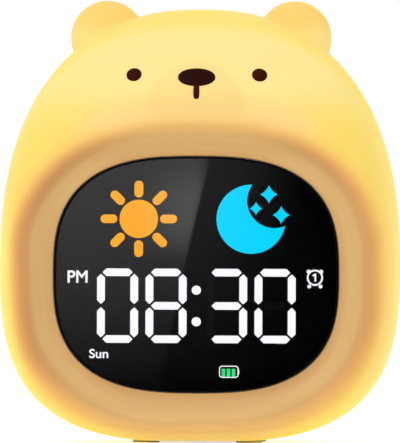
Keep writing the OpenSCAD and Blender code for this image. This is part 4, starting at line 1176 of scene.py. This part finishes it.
def grille_plan(grow):
    """Hexagonal grid of points inside a circle."""
    pitch, reach = grow.sizes("Pitch", "Reach")
    row_gap = pitch * (math.sqrt(3) / 2)
    grid = grow.node("MeshGrid", pitch * 10.0, row_gap * 10.0, 11, 11)
    row = (grow.position()[1] / row_gap).math("ROUND").size()
    shifted = grow.node("SetPosition", grid, Offset=grow.point(row.math("MODULO", 2.0) * pitch * 0.5))
    x, y = grow.position()
    outside = (x * x + y * y).power(0.5).above(reach)
    return grow.node("DeleteGeometry", shifted, outside, domain="POINT")


def row_plan(grow):
    """Five points in a row."""
    pitch, = grow.sizes("Pitch")
    start, step = grow.point(pitch * -2.0), grow.point(pitch)
    return grow.node("MeshLine", Count=5, Start_Location=start, Offset=step)


def corner_plan(grow):
    """The four corners of a rectangle."""
    return grow.node("MeshGrid", *grow.sizes("Across", "Along"), 2, 2)


print("grille pitch", GRILLE_PITCH, "mm")

# %% Panel with its grille, holes and charging recess
cream = moulded("cream plastic", (0.88, 0.72, 0.42), 0.5, spread=0.03, depth=0.03)
COUNTERBORE = [(1.2, -3.2), (1.2, -1.3), (2.1, -1.3), (2.1, -0.2), (2.3, 0.0), (2.3, 0.6)]
CUP, MOUTH = (15.4, 10.0, 2.8), (9.34, 3.66, 1.8)
RECESS = ((12.6, 7.2, 1.6, 39.2), (13.0, 7.6, 1.8, 39.5), (13.0, 7.6, 1.8, 43.4),
          (13.6, 8.2, 2.1, 43.71), (13.6, 8.2, 2.1, 44.5))
SLOT = ((4.8, 2.6, 0.5, 40.0), (4.8, 2.6, 0.5, 43.5), (5.2, 3.0, 0.7, 43.71), (5.2, 3.0, 0.7, 44.5))

t = even_angles(AROUND, PANEL_N)
rounding = round_edge(t, PANEL, 0.0, PANEL_FACE, -PANEL_ROUND, -1, np.linspace(QUARTER, 0, 6))
panel = loft("rear_panel", [ring_at(opening(t, PANEL), PANEL_FACE - PANEL_T)] + rounding)
carve(panel, well("cup", RECESS_X, (*CUP, 38.0), (*CUP, 42.5)), "UNION")
cuts = [
    set_out("grille", hole_cutter(GRILLE_D / 2, 0.3, 24), grille_plan, cream,
            0, PANEL_FACE, GRILLE_Z, Pitch=GRILLE_PITCH, Reach=GRILLE_REACH),
    set_out("button holes", hole_cutter(BUTTON_D / 2 + FIT, 0.25, 56), row_plan, cream,
            0, PANEL_FACE, BUTTON_Z, Pitch=BUTTON_PITCH),
    set_out("screw holes", turned("counterbore", COUNTERBORE, 32), corner_plan, cream,
            0, PANEL_FACE, PANEL_Z, **PANEL_SCREWS),
    well("recess", RECESS_X, *RECESS),
    well("slot", SLOT_X, *SLOT),
]
carve(panel, join("panel cuts", cuts))
carve(panel, well("socket mouth", RECESS_X, (*MOUTH, 37.0), (*MOUTH, 40.0)))
dress(crisp(panel), cream, "clock", "cream_plastic", "rear_panel")
print("panel triangles:", sum(len(p.vertices) - 2 for p in panel.data.polygons))

# %% [markdown]
# ## Buttons, slide switch and charging socket
#
# Five soft caps stand a little proud of the panel. Each has a flange that keeps it in and a stem
# down to its tact switch, and slides with the plunger below it. Plain signs are pad-printed on the
# caps: a dial, a bell, a lamp, a plus and a minus.

# %% Button caps
KINDS = ("set", "alarm", "light", "plus", "minus")
CAP_TOP, CAP_ROUND, SIGN_RISE = 44.9, 0.6, 0.06
soft_yellow = moulded("soft yellow rubber", (0.95, 0.70, 0.24), 0.6, grain=0.3, depth=0.03)
sign_ink = moulded("brown sign ink", (0.09, 0.045, 0.025), 0.55, grain=0.3, depth=0.01)
cap_profile = [(1.7, 37.5), (1.7, 40.1), (4.9, 40.1), (5.0, 40.2), (5.0, 41.0), (4.9, 41.1), (4.3, 41.1)]
cap_profile += arc(3.7, CAP_TOP - CAP_ROUND, CAP_ROUND, CAP_ROUND, 0, QUARTER, 7) + [(0.05, CAP_TOP)]


def grow_sign(kind, x):
    """A small sign drawn from round-cornered strokes and rings; it is as deep as the ink."""
    grow = Grower(f"{kind} sign", Stroke=0.5, Size=3.6, Depth=0.1, Finish=sign_ink)
    stroke, size = grow.sizes("Stroke", "Size")

    def put(curve, x=0.0, y=0.0, turn=0.0):
        return grow.slab(grow.moved(curve, x, y, turn))

    def bar(length, x=0.0, y=0.0, turn=0.0, thick=stroke):
        return put(grow.rounded(grow.box(length, thick), stroke * 0.49), x, y, turn)

    def ring(radius):
        return put(grow.join(grow.circle(radius), grow.circle(radius - stroke)))

    def half_disc(radius):
        return grow.node("CurveArc", Resolution=24, Radius=radius, Sweep_Angle=math.pi, Connect_Center=True)

    half = size * 0.5
    parts = {
        "set": lambda: [
            ring(half), bar(size * 0.3, y=size * 0.13, turn=QUARTER), bar(size * 0.24, x=size * -0.1)],
        "alarm": lambda: [
            put(half_disc(size * 0.28), y=size * 0.08), bar(size * 0.56, y=size * -0.08, thick=size * 0.4),
            bar(size * 0.84, y=size * -0.26), put(grow.circle(size * 0.09), y=size * -0.41),
            put(grow.circle(size * 0.08), y=size * 0.41)],
        "light": lambda: [ring(size * 0.27)] + [
            bar(size * 0.16, half * 0.86 * math.cos(a), half * 0.86 * math.sin(a), a)
            for a in (k * math.pi / 4 for k in range(8))],
        "plus": lambda: [bar(size * 0.8), bar(size * 0.8, turn=QUARTER)],
        "minus": lambda: [bar(size * 0.8)],
    }[kind]()
    return grow.grow(f"{kind}_sign", grow.fuse(*parts), x, CAP_TOP + SIGN_RISE, BUTTON_Z)


for k, kind in enumerate(KINDS):
    x = (k - 2) * BUTTON_PITCH
    cap = turned(f"{kind}_button", cap_profile, 56, (x, 0, BUTTON_Z))
    dress(cap, soft_yellow, f"{kind}_key", "button_yellow", f"{kind}_button")
    dress(grow_sign(kind, x), sign_ink, f"{kind}_key", "face_brown")
print("five caps, each with its sign")

# %% Slide switch knob and charging socket
knob = well("switch_knob", KNOB_X, (2.4, 2.2, 0.35, 36.7), (2.4, 2.2, 0.35, 44.1), (2.0, 1.8, 0.3, 44.4))
for dx in (-0.6, 0.0, 0.6):
    groove = pill(0.26, 3.0, 0.1, KNOB_X + dx, CONTROL_Z, 2)
    carve(knob, block("groove", (groove, 44.1), (groove, 45.0)))
black_knob = moulded("black knob", (0.02, 0.02, 0.02), 0.4)
dress(crisp(knob), black_knob, "power_slider", "black_plastic", "switch_knob")


def plated(name, colour, roughness=0.25, stretch=(1, 12, 12)):
    """Plated or brushed metal with fine drawn lines along X and a few duller patches."""
    finish = Finish(name, colour, roughness, Metallic=1.0)
    lines, patches = finish.noise(1.5, 3.0, stretch), finish.noise(2.0)
    finish.set(Base_Color=finish.mix([c * 0.8 for c in colour], (colour, patches)),
               Roughness=lines * 0.15 + patches * 0.15 + (roughness - 0.1))
    return finish.bump(lines, 0.01)


def golden_contacts():
    """Black plastic tongue with a row of gold contacts."""
    finish = Finish("socket tongue", (0.02, 0.02, 0.02), 0.4)
    gold = (finish.x * (2 * math.pi / 0.5)).sine().above(0.0) * finish.y.above(34.5)
    return finish.set(Base_Color=finish.mix((0.02, 0.02, 0.022), ((0.75, 0.52, 0.18), gold)),
                      Metallic=gold, Roughness=finish.noise(0.6) * 0.2 + 0.25)


socket = well("usb_socket", RECESS_X, (8.94, 3.26, 1.62, 33.0), (8.94, 3.26, 1.62, 38.85),
              (8.64, 2.96, 1.47, 39.0), (8.34, 2.66, 1.32, 38.85), (8.34, 2.66, 1.32, 33.5))
dress(socket, plated("plated socket", (0.72, 0.72, 0.70)), "clock", "plated_steel", "usb_socket")
tongue = well("usb_tongue", RECESS_X, (6.7, 0.7, 0.15, 33.5), (6.7, 0.7, 0.15, 38.1), (6.5, 0.5, 0.1, 38.2))
dress(tongue, golden_contacts(), "clock", "chip_black", "usb_tongue")
print("knob grooves and socket shell made")

# %% [markdown]
# ## Screws, base cover and feet
#
# The panel and the base cover are held by small cross-recessed screws in counterbores. One screw is
# made, with its recess cut in, and set on the corners of both plates. The feet are soft rubber pads.

# %% Screws
SHANK_R, POINT_R, HEAD_R, CROWN = 1.0, 0.6, 1.9, 0.25
PANEL_SEAT = 42.4
zinc = plated("zinc screw", (0.60, 0.61, 0.62), 0.3, (1, 1, 1))


def cross_screw(length, head):
    """A pan-head screw along Y, with its head's seat at 0 and a cross cut in the head."""
    shank = [(POINT_R, -length), (SHANK_R, POINT_R - length), (SHANK_R, 0.0), (HEAD_R, 0.0)]
    crown = arc(0, head - CROWN, HEAD_R, CROWN, 0, QUARTER - 0.05, 7)
    body = turned("screw", shank + crown, 40)
    for w, h in ((0.42, 2.3), (2.3, 0.42)):
        carve(body, block("arm", (pill(w * 0.6, h * 0.6, 0.1), head - 0.5), (pill(w, h, 0.12), head + 0.2)))
    return body


def at_corners(name, shape, material, slot, y, z, stand=False, **sizes):
    """A piece on four corners of the clock, with its finish."""
    dress(set_out(name, shape, corner_plan, material, 0, y, z, stand, **sizes), material, "clock", slot, name)


at_corners("panel_screws", cross_screw(6.0, 1.2), zinc, "zinc_screw", PANEL_SEAT, PANEL_Z, stand=True,
           **PANEL_SCREWS)
print("panel screws seated at", PANEL_SEAT, "mm")

# %% Base cover and feet
BASE_LOW, BASE_HIGH, BASE_SEAT = 1.3, 2.8, 2.05
SCREW_X, SCREW_Y = 15.5, 7.0
steps = ((-0.5, BASE_LOW), (-0.15, BASE_LOW + 0.15), (0.0, BASE_LOW + 0.5), (0.0, BASE_HIGH))
base = loft("base_cover", [level_ring(base_outline(extra), level) for extra, level in steps])
screw_hole = [(2.1, BASE_LOW - 0.6), (2.1, BASE_SEAT), (1.2, BASE_SEAT), (1.2, 3.4)]
for x, y in ((SCREW_X, SCREW_Y), (-SCREW_X, SCREW_Y), (SCREW_X, -SCREW_Y), (-SCREW_X, -SCREW_Y)):
    carve(base, turned("screw hole", screw_hole, 32, (x, y, 0), axis="Z"))
dress(crisp(base), cream, "clock", "cream_plastic", "base_cover")
at_corners("base_screws", cross_screw(5.5, 0.7), zinc, "zinc_screw", 0, BASE_SEAT,
           Across=2 * SCREW_X, Along=2 * SCREW_Y)
rubber = moulded("grey rubber", (0.55, 0.53, 0.48), 0.8, grain=0.25, depth=0.05)
pad = [(4.0, -1.8), (4.0, -0.35), (3.9, -0.1), (3.7, 0.0), (3.0, 0.0), (2.7, -0.25), (0.1, -0.25)]
at_corners("rubber_feet", turned("pad", pad, 48), rubber, "grey_rubber", 0, 0, Across=31.0, Along=39.0)
print("base cover, four screws and four feet")

# %% [markdown]
# ## Inside
#
# The boards, lamps, cell and loudspeaker are hidden while the clock is whole. They keep their solid
# shapes, and each gets the finish of its real material, so that the parts also serve by themselves.

# %% Finishes of the inner pieces
def circuit_board(name, mask, trace):
    """Solder mask over traces that run square to each other, with tinned pads."""
    finish = Finish(name, mask, 0.35)
    cells = finish.add("ShaderNodeTexVoronoi", finish.place, Scale=0.35, distance="MANHATTAN", feature="F2")
    lines = (Field(finish.tree, cells["Distance"]) * 9.0).sine().above(0.72)
    pads = (finish.noise(2.2, 0.0) - 0.72).above(0.0)
    finish.set(Base_Color=finish.mix(mask, (trace, lines), ((0.72, 0.70, 0.62), pads)),
               Metallic=pads * 0.9, Roughness=lines * -0.08 + finish.noise(4.0) * 0.1 + 0.32)
    return finish.bump(lines, 0.03)


def striped(name, ground, stripe, axis, pitch, width, roughness=0.4):
    """A finish with even stripes across one axis, softened by a little wear."""
    finish = Finish(name, ground, roughness)
    wave = (getattr(finish, axis) * (2 * math.pi / pitch)).sine().above(1 - 2 * width)
    worn = wave * (finish.noise(1.2) * 0.2 + 0.85)
    finish.set(Base_Color=finish.mix(ground, (stripe, worn)),
               Roughness=finish.noise(3.0) * 0.15 + (roughness - 0.07))
    return finish.bump(wave, 0.02)


def led_package(name):
    """White package with a yellow phosphor that varies a little from lamp to lamp."""
    finish = Finish(name, (0.9, 0.86, 0.7), 0.35)
    spot = finish.noise(1.6, 1.0).smooth(0.4, 0.6)
    return finish.set(Base_Color=finish.mix((0.86, 0.85, 0.8), ((0.85, 0.68, 0.16), spot)),
                      Roughness=finish.noise(0.8) * 0.2 + 0.25)


inner_finishes = {
    circuit_board("green circuit board", (0.010, 0.10, 0.035), (0.03, 0.22, 0.08)): (
        "display_board", "main_board"),
    circuit_board("white circuit board", (0.80, 0.80, 0.77), (0.70, 0.70, 0.66)): ("lamp_board",),
    led_package("lamp package"): ("display_leds", "lamp_leds"),
    zinc: ("display_screws", "housing_screws", "lamp_screws", "board_screws"),
    striped("ribbon film", (0.70, 0.66, 0.52), (0.45, 0.36, 0.16), "x", 1.0, 0.35): ("display_ribbon",),
    moulded("white shell", (0.80, 0.79, 0.74), 0.5, spread=0.02, depth=0.03): (
        "front_housing", "rear_housing", "lamp_bracket", "battery_tray"),
    moulded("moulded chip", (0.02, 0.02, 0.022), 0.55, grain=0.2): ("board_chips",),
    striped("tact switch", (0.6, 0.6, 0.6), (0.03, 0.03, 0.03), "y", 2.4, 0.4): (
        "tact_switches", "switch_body"),
    striped("cell wrap", (0.08, 0.16, 0.40), (0.75, 0.75, 0.78), "x", 60.0, 0.08, 0.3): ("battery_cell",),
    moulded("pressed speaker frame", (0.03, 0.03, 0.03), 0.4): ("speaker_frame",),
    striped("pulp cone", (0.025, 0.024, 0.022), (0.05, 0.048, 0.045), "z", 1.2, 0.3, 0.8): ("speaker_cone",),
    plated("nickelled magnet", (0.55, 0.55, 0.57), 0.3, (1, 1, 1)): ("speaker_magnet",),
    moulded("plunger plastic", (0.5, 0.45, 0.3), 0.4): [f"{kind}_plunger" for kind in KINDS],
}
for material, names in inner_finishes.items():
    refinish(material, *names)
print("inner pieces finished:", sum(len(names) for names in inner_finishes.values()))
